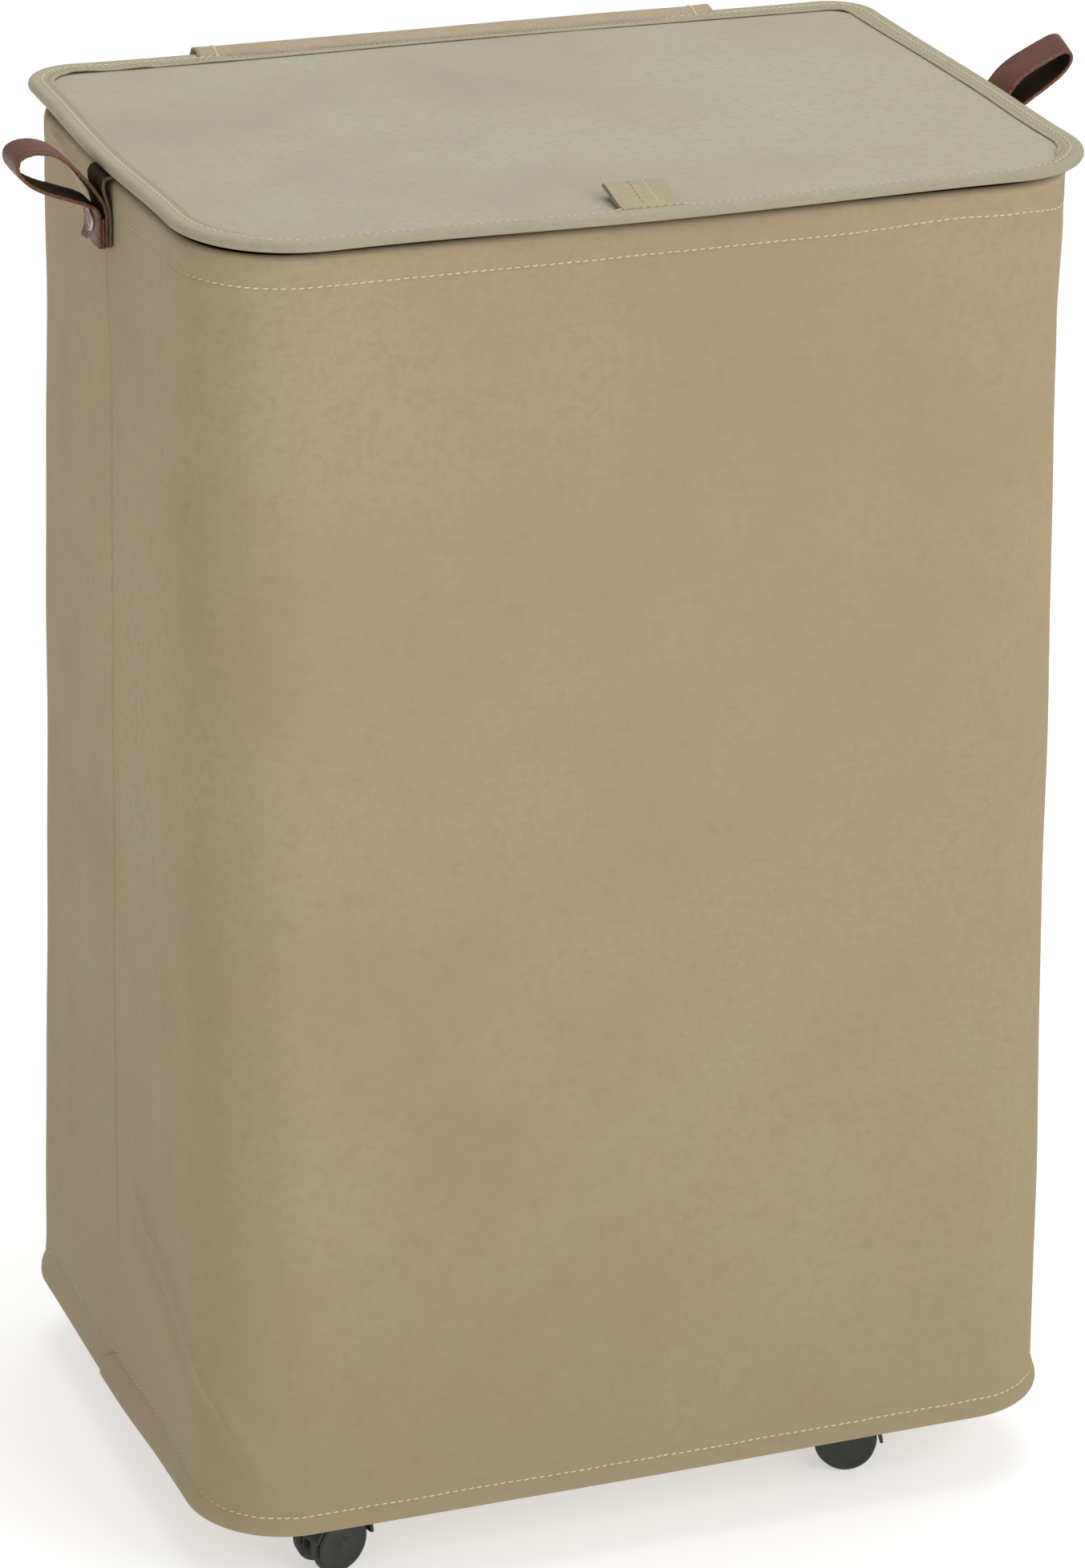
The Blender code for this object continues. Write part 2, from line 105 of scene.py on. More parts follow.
def waves(points, length, seed, count=7):
    """A smooth random field, about -1 to 1, whose features are about `length` across."""
    rng = np.random.default_rng(seed)
    total = 0.0
    for _ in range(count):
        way = rng.normal(size=3)
        way *= 2 * math.pi / length * rng.uniform(0.5, 1.3) / np.linalg.norm(way)
        total = total + np.sin(points @ way + rng.uniform(0, 2 * math.pi))
    return total / math.sqrt(count)


def spline(stops, per_span=8):
    """Points on a Catmull-Rom curve through the stops."""
    line = np.asarray(stops, float)
    line = np.vstack([2 * line[0] - line[1], line, 2 * line[-1] - line[-2]])
    t = (np.arange(per_span) / per_span)[:, None]
    spans = []
    for a, b, c, d in zip(line, line[1:], line[2:], line[3:]):
        cubic = (2 * a - 5 * b + 4 * c - d) * t**2 + (3 * b - 3 * c + d - a) * t**3
        spans.append(0.5 * (2 * b + (c - a) * t + cubic))
    return np.vstack(spans + [line[-2:-1]])


def lengths(path):
    """How far along the path each of its points is."""
    steps = np.linalg.norm(np.diff(path, axis=0), axis=1)
    return np.concatenate([[0], np.cumsum(steps)])


def sideways(path):
    """The unit normal at each point of a path in a plane, to the left of its direction."""
    ahead = np.gradient(path, axis=0)
    ahead /= np.linalg.norm(ahead, axis=1)[:, None]
    return np.stack([-ahead[:, 1], ahead[:, 0]], 1)


def arc(centre, radius, start, end, steps):
    """Points on an arc from start to end, in degrees."""
    a = np.radians(np.linspace(start, end, steps + 1))
    return np.stack([centre[0] + radius * np.cos(a), centre[1] + radius * np.sin(a)], 1)


# ---------------- columns round the hamper


def round_trip():
    """Columns round a rounded rectangle, anticlockwise from the rear end of the left side.

    Each has its place (a, b) on the straight runs, from -1 to 1, its outward normal and its share
    of the side's bow.
    """
    long_stops = np.linspace(-1, 1, 110)
    seam = np.array([-0.03, -0.018, -0.009, -0.005, -0.0025, 0, 0.0025, 0.005, 0.009, 0.018, 0.03])
    short_stops = np.unique(np.concatenate([np.linspace(-1, 1, 70), seam]))
    corner_steps = 26
    columns = []
    for turn, stops in ((180, short_stops), (270, long_stops), (0, short_stops), (90, long_stops)):
        p, q = round(math.cos(math.radians(turn))), round(math.sin(math.radians(turn)))
        for s in stops:
            columns.append((p - q * s, q + p * s, p, q, math.cos(math.pi * s / 2) ** 2))
        for k in range(1, corner_steps):
            angle = math.radians(turn + 90 * k / corner_steps)
            columns.append((p - q, q + p, math.cos(angle), math.sin(angle), 0.0))
    return np.array(columns)


ROUND = round_trip()
AT_A, AT_B, OUT_X, OUT_Y, BOW = ROUND.T
CORNER = (2 * np.abs(OUT_X * OUT_Y)) ** 0.5


def loop(shape, grow=0.0):
    """The (x, y) of every column on an outline moved outwards by grow."""
    half_w, half_d, radius, bow = shape
    reach = radius + grow + bow * BOW
    return np.stack([AT_A * (half_w - radius) + OUT_X * reach, AT_B * (half_d - radius) + OUT_Y * reach], -1)


def at_height(shape, z, grow=0.0):
    """The (x, y, z) of every column on an outline, level at one height or at a height for each."""
    return np.column_stack([loop(shape, grow), z + 0 * BOW])


def wall_shape(z):
    """The wall's outline at a height; below its foot it stays the foot's."""
    t = np.clip((np.asarray(z) - FOOT_Z) / (RIM_Z - FOOT_Z), 0, 1)
    return [low + (high - low) * t for low, high in zip(FOOT, RIM)]


def along_loop(points):
    """The distance round a closed loop at each column, and once more at the end for the way back."""
    return lengths(np.vstack([points, points[:1]]))


MIDDLE = loop(wall_shape((FOOT_Z + RIM_Z) / 2))
ROUND_U = along_loop(MIDDLE)

# The lid's outline is hand-bent: each side and corner has its own size
LEFT, REAR = AT_A < 0, AT_B > 0
LID = (
    np.where(LEFT, LID_HIGH.x - 0.0083, LID_HIGH.x - 0.0043),
    np.where(REAR, LID_HIGH.y - 0.0073, LID_HIGH.y - 0.0043),
    np.where(REAR, np.where(LEFT, 0.030, 0.025), np.where(LEFT, 0.062, 0.052)),
    np.select([OUT_X < -0.5, OUT_X > 0.5, OUT_Y < -0.5], [0.0030, 0.0033, 0.0044], 0.0030),
)


def lid_lift(points):
    """How far the slightly twisted lid stands above or below its plane."""
    u = np.clip(points[..., 0] / LID_HIGH.x, -1, 1)
    v = np.clip(points[..., 1] / LID_HIGH.y, -1, 1)
    lift = -0.0025 * np.clip(u, 0, 1) ** 4 * (1 - v**2) ** 2
    lift = lift - 0.0005 * (1 - u**2) ** 2 * np.clip(-v, 0, 1) ** 4
    for across, along, rise in ((-1, 1, 0.0025), (-1, -1, -0.0030), (1, -1, -0.0008)):
        lift = lift + rise * np.clip(across * u, 0, 1) ** 4 * np.clip(along * v, 0, 1) ** 2
    return lift


def on_lid(out, up):
    """Every column at this distance out from the lid's outline and this height over its plane."""
    points = at_height(LID, LID_Z + up, out)
    points[:, 2] += lid_lift(points)
    return points


# ---------------- meshes


def attach(piece, body, slot, *nodes):
    """Ties a piece to its CAD body and hides the CAD nodes that it stands for; its material slot is not used.
    """
    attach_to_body(piece, body)
    if nodes:
        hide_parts(*nodes)


def add_object(name, data):
    """Puts a mesh, light or camera into the scene."""
    made = bpy.data.objects.new(name, data)
    bpy.context.scene.collection.objects.link(made)
    return made


def mesh_piece(name, points, faces, finishes, smooth=True, outward=False):
    """A piece from points and faces; outward turns every face to the outside of a closed shape."""
    mesh = bpy.data.meshes.new(name)
    mesh.from_pydata(np.asarray(points).reshape(-1, 3).tolist(), [], faces)
    if outward:
        work = bmesh.new()
        work.from_mesh(mesh)
        bmesh.ops.recalc_face_normals(work, faces=work.faces)
        work.to_mesh(mesh)
        work.free()
    if smooth:
        mesh.shade_smooth()
        mesh.set_sharp_from_angle(angle=math.radians(50))
    piece = add_object(name, mesh)
    for finish in finishes if isinstance(finishes, (list, tuple)) else [finishes]:
        mesh.materials.append(finish)
    return piece


def grid_faces(rows, columns, close_rows=False, close_columns=False):
    """Quads over a grid of points, with the ends joined where asked."""
    index = np.arange(rows * columns).reshape(rows, columns)
    if close_columns:
        index = np.hstack([index, index[:, :1]])
    if close_rows:
        index = np.vstack([index, index[:1]])
    quads = np.stack([index[:-1, :-1], index[:-1, 1:], index[1:, 1:], index[1:, :-1]], -1)
    return quads.reshape(-1, 4)


def lay_uv(piece, across, along):
    """A map in metres over a grid's quads: `across` at each column, `along` at each row, ends included."""
    u, v = np.meshgrid(across, along)
    spot = np.stack([u, v], -1)
    corners = np.stack([spot[:-1, :-1], spot[:-1, 1:], spot[1:, 1:], spot[1:, :-1]], 2)
    layer = piece.data.uv_layers.new(name="cloth")
    flat = np.zeros(len(layer.data) * 2, np.float32)
    flat[: corners.size] = corners.ravel()
    layer.data.foreach_set("uv", flat)


def grid_piece(name, grid, finish, across, along, close_rows=False, close_columns=False):
    """A piece from rows of points, with its map in metres."""
    rows, columns = grid.shape[:2]
    faces = grid_faces(rows, columns, close_rows, close_columns)
    piece = mesh_piece(name, grid, faces.tolist(), finish)
    lay_uv(piece, across, along)
    return piece


def disc_piece(name, rings, finish):
    """A sheet laid in rings from its edge inwards to one middle point, with a map in metres from above."""
    count = rings.shape[1]
    faces = grid_faces(len(rings), count, close_columns=True).tolist()
    points = np.vstack([rings.reshape(-1, 3), rings[-1].mean(0)[None]])
    last = (len(rings) - 1) * count
    faces += [(last + k, last + (k + 1) % count, len(points) - 1) for k in range(count)]
    piece = mesh_piece(name, points, faces, finish)
    layer = piece.data.uv_layers.new(name="cloth")
    corner_points = np.zeros(len(piece.data.loops), np.int32)
    piece.data.loops.foreach_get("vertex_index", corner_points)
    layer.data.foreach_set("uv", points[corner_points, :2].astype(np.float32).ravel())
    return piece


def thicken(piece, thickness, offset=-1.0):
    """Gives a sheet its thickness: inwards at offset -1, to both sides at 0, outwards at 1."""
    step = piece.modifiers.new("thickness", "SOLIDIFY")
    step.thickness = thickness
    step.offset = offset
    apply_modifiers(piece)


def apply_modifiers(piece):
    """Replaces the piece's mesh with the one that its modifiers make."""
    graph = bpy.context.evaluated_depsgraph_get()
    mesh = bpy.data.meshes.new_from_object(piece.evaluated_get(graph))
    piece.modifiers.clear()
    old, piece.data = piece.data, mesh
    mesh.name = piece.name
    bpy.data.meshes.remove(old)


def turned(name, profile, steps, matrix, finish):
    """A profile of (radius, height) points turned about its axis; it starts and ends on the axis."""
    profile = np.asarray(profile, float)
    a = 2 * np.pi * np.arange(steps) / steps
    rings = [np.stack([r * np.cos(a), r * np.sin(a), np.full(steps, h)], 1) for r, h in profile[1:-1]]
    points = np.vstack(rings + [[(0, 0, profile[0][1])], [(0, 0, profile[-1][1])]])
    faces = grid_faces(len(rings), steps, close_columns=True).tolist()
    first, last, base = len(points) - 2, len(points) - 1, (len(rings) - 1) * steps
    for k in range(steps):
        n = (k + 1) % steps
        faces += [(first, n, k), (last, base + k, base + n)]
    points = points @ np.array(matrix)[:3, :3].T + np.array(matrix)[:3, 3]
    return mesh_piece(name, points, faces, finish, outward=True)


def stitches(name, path, normals, finish, pitch=0.0042, long=0.0031, radius=0.00035, closed=False, seed=1,
             slant=0.0, zigzag=0.0):
    """A row of thread stitches along a path on a surface: each dives into the cloth at both ends."""
    path, normals = np.asarray(path, float), np.asarray(normals, float)
    if closed:
        path, normals = np.vstack([path, path[:1]]), np.vstack([normals, normals[:1]])
    far = lengths(path)
    count = max(1, int(round(far[-1] / pitch)))
    rng = np.random.default_rng(seed)
    at = (np.arange(count) + 0.5 + rng.uniform(-0.06, 0.06, count)) * far[-1] / count

    def read(values, where):
        return np.stack([np.interp(where, far, values[:, k]) for k in range(3)], 1)

    half, sides = long / 2, 6
    centre, ahead = read(path, at), read(path, at + half) - read(path, at - half)
    ahead /= np.linalg.norm(ahead, axis=1)[:, None]
    up = read(normals, at)
    up -= ahead * (up * ahead).sum(1)[:, None]
    up /= np.linalg.norm(up, axis=1)[:, None]
    side = np.cross(up, ahead)
    turn = (slant + zigzag * (-1.0) ** np.arange(count) + rng.normal(0, 0.035, count))[:, None]
    ahead, side = ahead * np.cos(turn) + side * np.sin(turn), side * np.cos(turn) - ahead * np.sin(turn)
    stations = np.array([-1, -0.86, -0.55, 0, 0.55, 0.86, 1])
    girth = radius * np.array([0.45, 0.85, 1, 1, 1, 0.85, 0.45])
    lift = radius * np.array([-1.5, -0.55, 0.25, 0.45, 0.25, -0.55, -1.5])
    around = 2 * np.pi * np.arange(sides) / sides
    points = (
        centre[:, None, None]
        + ahead[:, None, None] * (stations * half)[None, :, None, None]
        + up[:, None, None] * (lift[:, None] + girth[:, None] * np.sin(around))[None, :, :, None]
        + side[:, None, None] * (girth[:, None] * np.cos(around) * 1.15)[None, :, :, None]
    )
    one = grid_faces(len(stations), sides, close_columns=True)
    size = sides * len(stations)
    ends = [list(range(sides))[::-1], list(range(size - sides, size))]
    faces = []
    for k in range(count):
        faces += (one + k * size).tolist() + [[i + k * size for i in end] for end in ends]
    return mesh_piece(name, points, faces, finish, smooth=False, outward=True)


# ---------------- materials


class Finish:
    """A material under construction: a Principled shader and the nodes that feed it."""

    def __init__(self, name, roughness=0.5, metallic=0.0, **sockets):
        self.material = bpy.data.materials.new(name)
        self.material.use_nodes = True
        self.tree = self.material.node_tree
        self.shader = self.tree.nodes["Principled BSDF"]
        self.shader.inputs["Roughness"].default_value = roughness
        self.shader.inputs["Metallic"].default_value = metallic
        for socket, value in sockets.items():
            self.shader.inputs[socket.replace("_", " ")].default_value = value

    def node(self, kind, inputs=(), out=0, **settings):
        made = self.tree.nodes.new("ShaderNode" + kind)
        for key, value in settings.items():
            setattr(made, key, value)
        for key, value in dict(inputs).items():
            self.feed(made.inputs[key], value)
        return made.outputs[out]

    def feed(self, socket, value):
        if isinstance(value, bpy.types.NodeSocket):
            self.tree.links.new(value, socket)
        else:
            socket.default_value = value

    def math(self, operation, a, b=0.0):
        return self.node("Math", {0: a, 1: b}, operation=operation)

    def place(self):
        return self.node("TexCoord", out="Object")

    def cloth_map(self):
        return self.node("UVMap", uv_map="cloth")

    def stretched(self, vector, scale):
        return self.node("Mapping", {"Vector": vector, "Scale": scale})

    def noise(self, vector, scale, detail=2.0, rough=0.5):
        settings = {"Vector": vector, "Scale": scale, "Detail": detail, "Roughness": rough}
        return self.node("TexNoise", settings)

    def span(self, value, low, high, to_low, to_high):
        names = {"Value": value, "From Min": low, "From Max": high, "To Min": to_low, "To Max": to_high}
        return self.node("MapRange", names)

    def mix(self, share, a, b):
        names = {0: share, 6: a, 7: b}
        return self.node("Mix", names, out=2, data_type="RGBA")

    def stain(self, value, low, high, share, colour, other):
        """Mixes up to a share of the other colour into this one, as the value goes from low to high."""
        return self.mix(self.span(value, low, high, 0.0, share), colour, other)

    def bumps(self, *layers):
        """Adds up (height, distance) layers and feeds the shader's normal."""
        normal = None
        for height, distance in layers:
            names = {"Height": height, "Distance": distance, "Strength": 1.0}
            if normal is not None:
                names["Normal"] = normal
            normal = self.node("Bump", names)
        self.tree.links.new(normal, self.shader.inputs["Normal"])

    def set(self, socket, value):
        self.feed(self.shader.inputs[socket], value)


def rgb(r, g, b):
    """A linear colour from the usual 0 to 255 screen values."""
    shares = (r / 255, g / 255, b / 255)
    return tuple(c / 12.92 if c <= 0.04045 else ((c + 0.055) / 1.055) ** 2.4 for c in shares) + (1.0,)


def weave(finish, pitch):
    """The height of a plain weave of threads this far apart, from -1 to 1."""
    split = finish.node("SeparateXYZ", {"Vector": finish.cloth_map()}, out="X").node
    turn = math.pi / pitch
    across = finish.math("SINE", finish.math("MULTIPLY", split.outputs["X"], turn))
    along = finish.math("SINE", finish.math("MULTIPLY", split.outputs["Y"], turn))
    return finish.math("MULTIPLY", across, along)


def canvas(name, base, warm, dark, pale, blotch, roughness, foot=None):
    """Waxed-looking cotton canvas: a fine weave, faint slubs and soft uneven dye; a foot colour, where given,
    is painted shade that darkens the cloth towards the bottom.
    """
    look = Finish(name, roughness=roughness, Specular_IOR_Level=0.14)
    place = look.place()
    clouds = look.noise(place, blotch, detail=5.0, rough=0.55)
    pools = look.noise(look.stretched(place, (1.0, 1.0, 0.62)), blotch * 0.42, detail=3.0)
    specks = look.noise(place, blotch * 9, detail=4.0, rough=0.65)
    slub_u = look.noise(look.stretched(look.cloth_map(), (26, 950, 1)), 1.0, detail=3.0)
    slub_v = look.noise(look.stretched(look.cloth_map(), (900, 22, 1)), 1.0, detail=3.0)
    flecks = look.noise(place, blotch * 22, detail=2.0)
    colour = look.stain(clouds, 0.35, 0.70, 1.0, base, warm)
    colour = look.stain(pools, 0.44, 0.72, 0.75, colour, pale)
    colour = look.stain(flecks, 0.46, 0.70, 0.85, colour, warm)
    colour = look.stain(specks, 0.52, 0.80, 0.30, colour, dark)
    colour = look.stain(slub_u, 0.40, 0.75, 0.14, colour, dark)
    colour = look.stain(slub_v, 0.40, 0.75, 0.12, colour, pale)
    # Painted shade: up to 42 % of the foot colour at the bottom, fading out by 0.46 m
    if foot is not None:
        height = look.node("SeparateXYZ", {"Vector": place}, out="Z")
        colour = look.mix(look.span(height, 0.04, 0.46, 0.42, 0.0), colour, foot)
    look.set("Base Color", colour)
    look.set("Roughness", look.span(clouds, 0.3, 0.7, roughness - 0.06, roughness + 0.08))
    look.set("Sheen Weight", 0.03)
    look.set("Sheen Roughness", 0.5)
    look.bumps(
        (clouds, 0.0014), (specks, 0.00022), (slub_u, 0.00006), (slub_v, 0.00006),
        (weave(look, 0.00072), 0.000015),
    )
    return look.material


def thread_finish(name, colour, shade, side_wall_shade=None):
    """Twisted cotton thread; the colour for the side walls, where given, is painted shade: the thread turns
    to it on the two sides of the wall.
    """
    look = Finish(name, roughness=0.62, Specular_IOR_Level=0.35)
    strands = look.node("TexWave", {"Vector": look.place(), "Scale": 420.0, "Distortion": 0.6}, out="Fac",
                     bands_direction="DIAGONAL")
    twisted = look.stain(strands, 0.0, 1.0, 0.7, colour, shade)
    # Painted shade: on the two side walls the thread is turned most of the way to the given colour
    if side_wall_shade is not None:
        across = look.math("ABSOLUTE", look.node("SeparateXYZ", {"Vector": look.place()}, out="X"))
        twisted = look.stain(across, 0.212, 0.226, 0.72, twisted, side_wall_shade)
    look.set("Base Color", twisted)
    look.set("Sheen Weight", 0.2)
    look.bumps((strands, 0.00006))
    return look.material


def leather_grain(name, light, dark, worn):
    """The smooth outer face of the straps."""
    look = Finish(name, roughness=0.5, Specular_IOR_Level=0.3)
    place = look.place()
    tone = look.noise(place, 55.0, detail=5.0, rough=0.6)
    pores = look.node("TexVoronoi", {"Vector": place, "Scale": 1500.0}, out="Distance")
    creases = look.noise(look.stretched(place, (1.0, 0.45, 1.0)), 420.0, detail=6.0, rough=0.7)
    colour = look.stain(tone, 0.3, 0.7, 1.0, light, dark)
    colour = look.stain(creases, 0.5, 0.8, 0.5, colour, worn)
    look.set("Base Color", colour)
    look.set("Roughness", look.span(creases, 0.3, 0.8, 0.34, 0.56))
    look.set("Coat Weight", 0.05)
    look.set("Coat Roughness", 0.35)
    look.bumps((tone, 0.0004), (creases, 0.00022), (pores, 0.00007))
    return look.material


def leather_edge():
    """Cut and burnished edge, lighter and more orange than the face."""
    look = Finish("leather_edge", roughness=0.5, Specular_IOR_Level=0.45)
    place = look.place()
    layers = look.noise(place, 700.0, detail=5.0, rough=0.7)
    look.set("Base Color", look.stain(layers, 0.35, 0.72, 1.0, rgb(128, 80, 52), rgb(62, 37, 27)))
    look.set("Roughness", look.span(layers, 0.3, 0.7, 0.4, 0.65))
    look.bumps((layers, 0.0002))
    return look.material


def leather_flesh():
    """The dark fibrous inner face."""
    look = Finish("leather_flesh", roughness=0.92, Specular_IOR_Level=0.15)
    place = look.place()
    nap = look.noise(place, 900.0, detail=8.0, rough=0.75)
    patches = look.noise(place, 90.0, detail=4.0)
    colour = look.stain(nap, 0.35, 0.75, 1.0, rgb(50, 38, 24), rgb(70, 54, 36))
    look.set("Base Color", look.stain(patches, 0.4, 0.7, 0.6, colour, rgb(56, 46, 30)))
    look.bumps((nap, 0.00030), (patches, 0.0003))
    return look.material


def metal(name, colour, shade, roughness, scale):
    """Drawn or pressed metal: fine lines along Z and soft stains."""
    look = Finish(name, roughness=roughness, metallic=1.0)
    place = look.place()
    drawn = look.noise(look.stretched(place, (1.0, 1.0, 0.05)), scale, detail=4.0, rough=0.6)
    stains = look.noise(place, scale * 0.12, detail=5.0)
    look.set("Base Color", look.stain(stains, 0.35, 0.7, 0.8, colour, shade))
    look.set("Roughness", look.span(drawn, 0.3, 0.7, roughness - 0.08, roughness + 0.12))
    look.bumps((drawn, 0.00004))
    return look.material


def moulded(name, colour, shade, roughness, grain):
    """Black moulded plastic with a fine texture, dust in it and a few scuffs."""
    look = Finish(name, roughness=roughness, Specular_IOR_Level=0.45)
    place = look.place()
    texture = look.noise(place, grain, detail=3.0, rough=0.6)
    scuffs = look.noise(look.stretched(place, (1.0, 3.0, 1.0)), 160.0, detail=6.0, rough=0.7)
    look.set("Base Color", look.stain(scuffs, 0.5, 0.8, 0.8, colour, shade))
    look.set("Roughness", look.span(scuffs, 0.35, 0.75, roughness - 0.08, roughness + 0.16))
    look.bumps((texture, 0.00005), (scuffs, 0.00006))
    return look.material


def hardboard():
    """Pressed wood fibre: short fibres in every direction on a brown ground."""
    look = Finish("pressed_board", roughness=0.72, Specular_IOR_Level=0.3)
    place = look.place()
    fibres = look.noise(look.stretched(place, (1.0, 0.12, 1.0)), 900.0, detail=6.0, rough=0.75)
    flakes = look.noise(look.stretched(place, (0.15, 1.0, 1.0)), 620.0, detail=5.0, rough=0.7)
    tone = look.noise(place, 14.0, detail=3.0)
    colour = look.stain(fibres, 0.35, 0.7, 1.0, rgb(126, 96, 66), rgb(98, 70, 46))
    colour = look.stain(flakes, 0.5, 0.8, 0.7, colour, rgb(158, 128, 92))
    look.set("Base Color", look.stain(tone, 0.35, 0.7, 0.4, colour, rgb(110, 82, 56)))
    look.bumps((fibres, 0.00012), (flakes, 0.0001))
    return look.material


def pale_floor():
    """A floor that glows a little, so that it stays pale up to the horizon."""
    look = Finish("pale_floor", roughness=0.75, Specular_IOR_Level=0.1)
    drift = look.noise(look.place(), 0.8, detail=2.0)
    greys = [(level, level, level, 1) for level in (0.66, 0.64)]
    look.set("Base Color", look.stain(drift, 0.3, 0.7, 1.0, *greys))
    look.set("Emission Color", (1, 1, 1, 1))
    look.set("Emission Strength", 0.52)
    return look.material


# Each canvas: its ground, a warmer and a darker shade, a pale one, how coarse the blotches are, roughness;
# the wall's foot colour is painted shade towards the bottom
WALL_CANVAS = canvas(
    "wall_canvas", rgb(167, 151, 121), rgb(164, 143, 116), rgb(143, 128, 96), rgb(172, 158, 126), 11.0, 0.86,
    foot=rgb(144, 130, 100),
)
# Paler and greyer than the wall's canvas: partly the lid's own cloth, partly a painted reflection of the
# light from above
LID_CANVAS = canvas(
    "lid_canvas", rgb(170, 164, 143), rgb(164, 156, 138), rgb(153, 145, 124), rgb(176, 171, 151), 13.0, 0.78
)
BINDING_CANVAS = canvas(
    "binding_canvas", rgb(166, 158, 134), rgb(159, 150, 127), rgb(145, 136, 111), rgb(173, 166, 143), 22.0,
    0.82,
)
TAB_CANVAS = canvas(
    "tab_canvas", rgb(168, 156, 128), rgb(160, 146, 119), rgb(144, 130, 102), rgb(176, 165, 138), 24.0, 0.82
)
TAPE_CANVAS = canvas(
    "tape_canvas", rgb(167, 153, 130), rgb(162, 145, 121), rgb(143, 128, 104), rgb(174, 162, 139), 24.0, 0.84
)
THREAD = thread_finish("cream_thread", rgb(216, 206, 173), rgb(194, 181, 145))
# The wall's thread: its last colour is painted shade, close to the wall cloth's tone, on the two side walls
WALL_THREAD = thread_finish("wall_thread", rgb(222, 211, 178), rgb(200, 187, 150), rgb(168, 152, 122))
FINE_THREAD = thread_finish("fine_thread", rgb(176, 167, 141), rgb(148, 139, 114))
DARK_THREAD = thread_finish("dark_thread", rgb(128, 112, 84), rgb(100, 86, 62))
GRAIN = leather_grain("leather_grain", rgb(104, 54, 34), rgb(80, 41, 27), rgb(118, 68, 46))
HANGER_GRAIN = leather_grain("hanger_leather", rgb(108, 95, 77), rgb(88, 75, 61), rgb(126, 112, 92))
EDGE, FLESH = leather_edge(), leather_flesh()
STEEL = metal("zinc_steel", rgb(196, 196, 198), rgb(160, 158, 156), 0.34, 900.0)
NICKEL = metal("nickel_rivet", rgb(196, 182, 164), rgb(160, 146, 130), 0.34, 700.0)
# A rougher nickel painted darker for the cap's face: a painted reflection of the dark leather round it
SHADED_NICKEL = metal("shaded_nickel", rgb(136, 118, 100), rgb(108, 92, 78), 0.42, 700.0)
HOOD = moulded("hood_plastic", rgb(33, 34, 31), rgb(48, 49, 45), 0.38, 1500.0)
WHEEL = moulded("wheel_plastic", rgb(38, 39, 34), rgb(54, 55, 50), 0.42, 1100.0)
BOARD = hardboard()


# ---------------- cloth body


def crease(points, stops, width, depth):
    """A soft fold along a line of stops: full depth in its middle, fading at both ends."""
    stops = np.array(stops, float)
    far = lengths(stops)
    nearest, along = np.full(points.shape[:-1], 1.0), np.zeros(points.shape[:-1])
    for start, end, before in zip(stops, stops[1:], far):
        way = end - start
        t = np.clip(((points - start) @ way) / (way @ way), 0, 1)
        off = np.linalg.norm(points - (start + t[..., None] * way), axis=-1)
        closer = off < nearest
        nearest = np.where(closer, off, nearest)
        along = np.where(closer, (before + t * np.linalg.norm(way)) / far[-1], along)
    return depth * np.exp(-((nearest / width) ** 2)) * ease(along, 0.0, 0.18) * (1 - ease(along, 0.90, 1.0))


CORNER_FOLD = np.array([
    (-0.2295, -0.0216, 0.1820), (-0.2295, -0.0516, 0.1670), (-0.2290, -0.0849, 0.1590),
    (-0.2275, -0.1095, 0.1414), (-0.2225, -0.1490, 0.1100), (-0.2000, -0.1690, 0.0650),
])
RIM_FOLD = [(-0.2268, 0.1080, 0.7010), (-0.2268, 0.0963, 0.6985), (-0.2268, 0.0761, 0.6916),
            (-0.2268, 0.0613, 0.6877), (-0.2268, 0.0400, 0.6830), (-0.2268, 0.0200, 0.6780)]


def wall_ease(points):
    """How far the wall's cloth stands out from its plain shape."""
    x, y, z = points[..., 0], points[..., 1], points[..., 2]
    free = ease(z, 0.060, 0.150) * (1 - ease(z, 0.600, 0.676))
    left, right = ease(-x, 0.200, 0.222), ease(x, 0.200, 0.222)
    front = ease(-y, 0.120, 0.150)
    # Broad softness of the cloth between the two rings
    out = free * (0.0010 * waves(points, 0.30, 3) + 0.0004 * waves(points, 0.11, 4))
    # The seams at the middle of both sides: a narrow valley between two soft lips, lost near the hem
    seam = (left + right) * (1 - ease(z, 0.6770, 0.6800)) * ease(z, 0.108, 0.134)
    out += seam * (0.0003 * bump(np.abs(y), 0.0045, 0.0035) - 0.0007 * bump(y, 0, 0.0010))
    out -= (left + right) * free * 0.0016 * bump(y, 0, 0.030)
    # The stay rods press softly outwards inside the sides
    out += (left + right) * free * 0.0010 * bump(np.abs(y), 0.085, 0.012)
    # Folds near the lower front left corner and under the lid at the rear left
    out += crease(points, CORNER_FOLD, 0.0045, 0.0034)
    out += crease(points, CORNER_FOLD + [0, 0.008, -0.014], 0.0090, -0.0020)
    out += crease(points, RIM_FOLD, 0.0034, 0.0017) * left
    out += front * crease(points, [(-0.190, -0.153, 0.676), (-0.196, -0.165, 0.300)], 0.030, -0.0010)
    # The front right corner is drawn in over its upper half
    drawn = ease(z, 0.34, 0.60) * (1 - 0.75 * ease(z, 0.615, 0.672))
    out -= 0.0043 * drawn * ease(x, 0.14, 0.19) * ease(-y, 0.085, 0.115)
    return out


# The lower hem is deeper along the left side
HEM_RISE = 0.0125 * np.where(OUT_X < 0, 1, 0) * ease(-OUT_X, 0.6, 1.0)
HEM_RISE = HEM_RISE * ease(MIDDLE[:, 1], -0.150, -0.070) * (1 - ease(MIDDLE[:, 1], 0.095, 0.145))
HEM_ROW = HEM_STITCH_Z + HEM_RISE
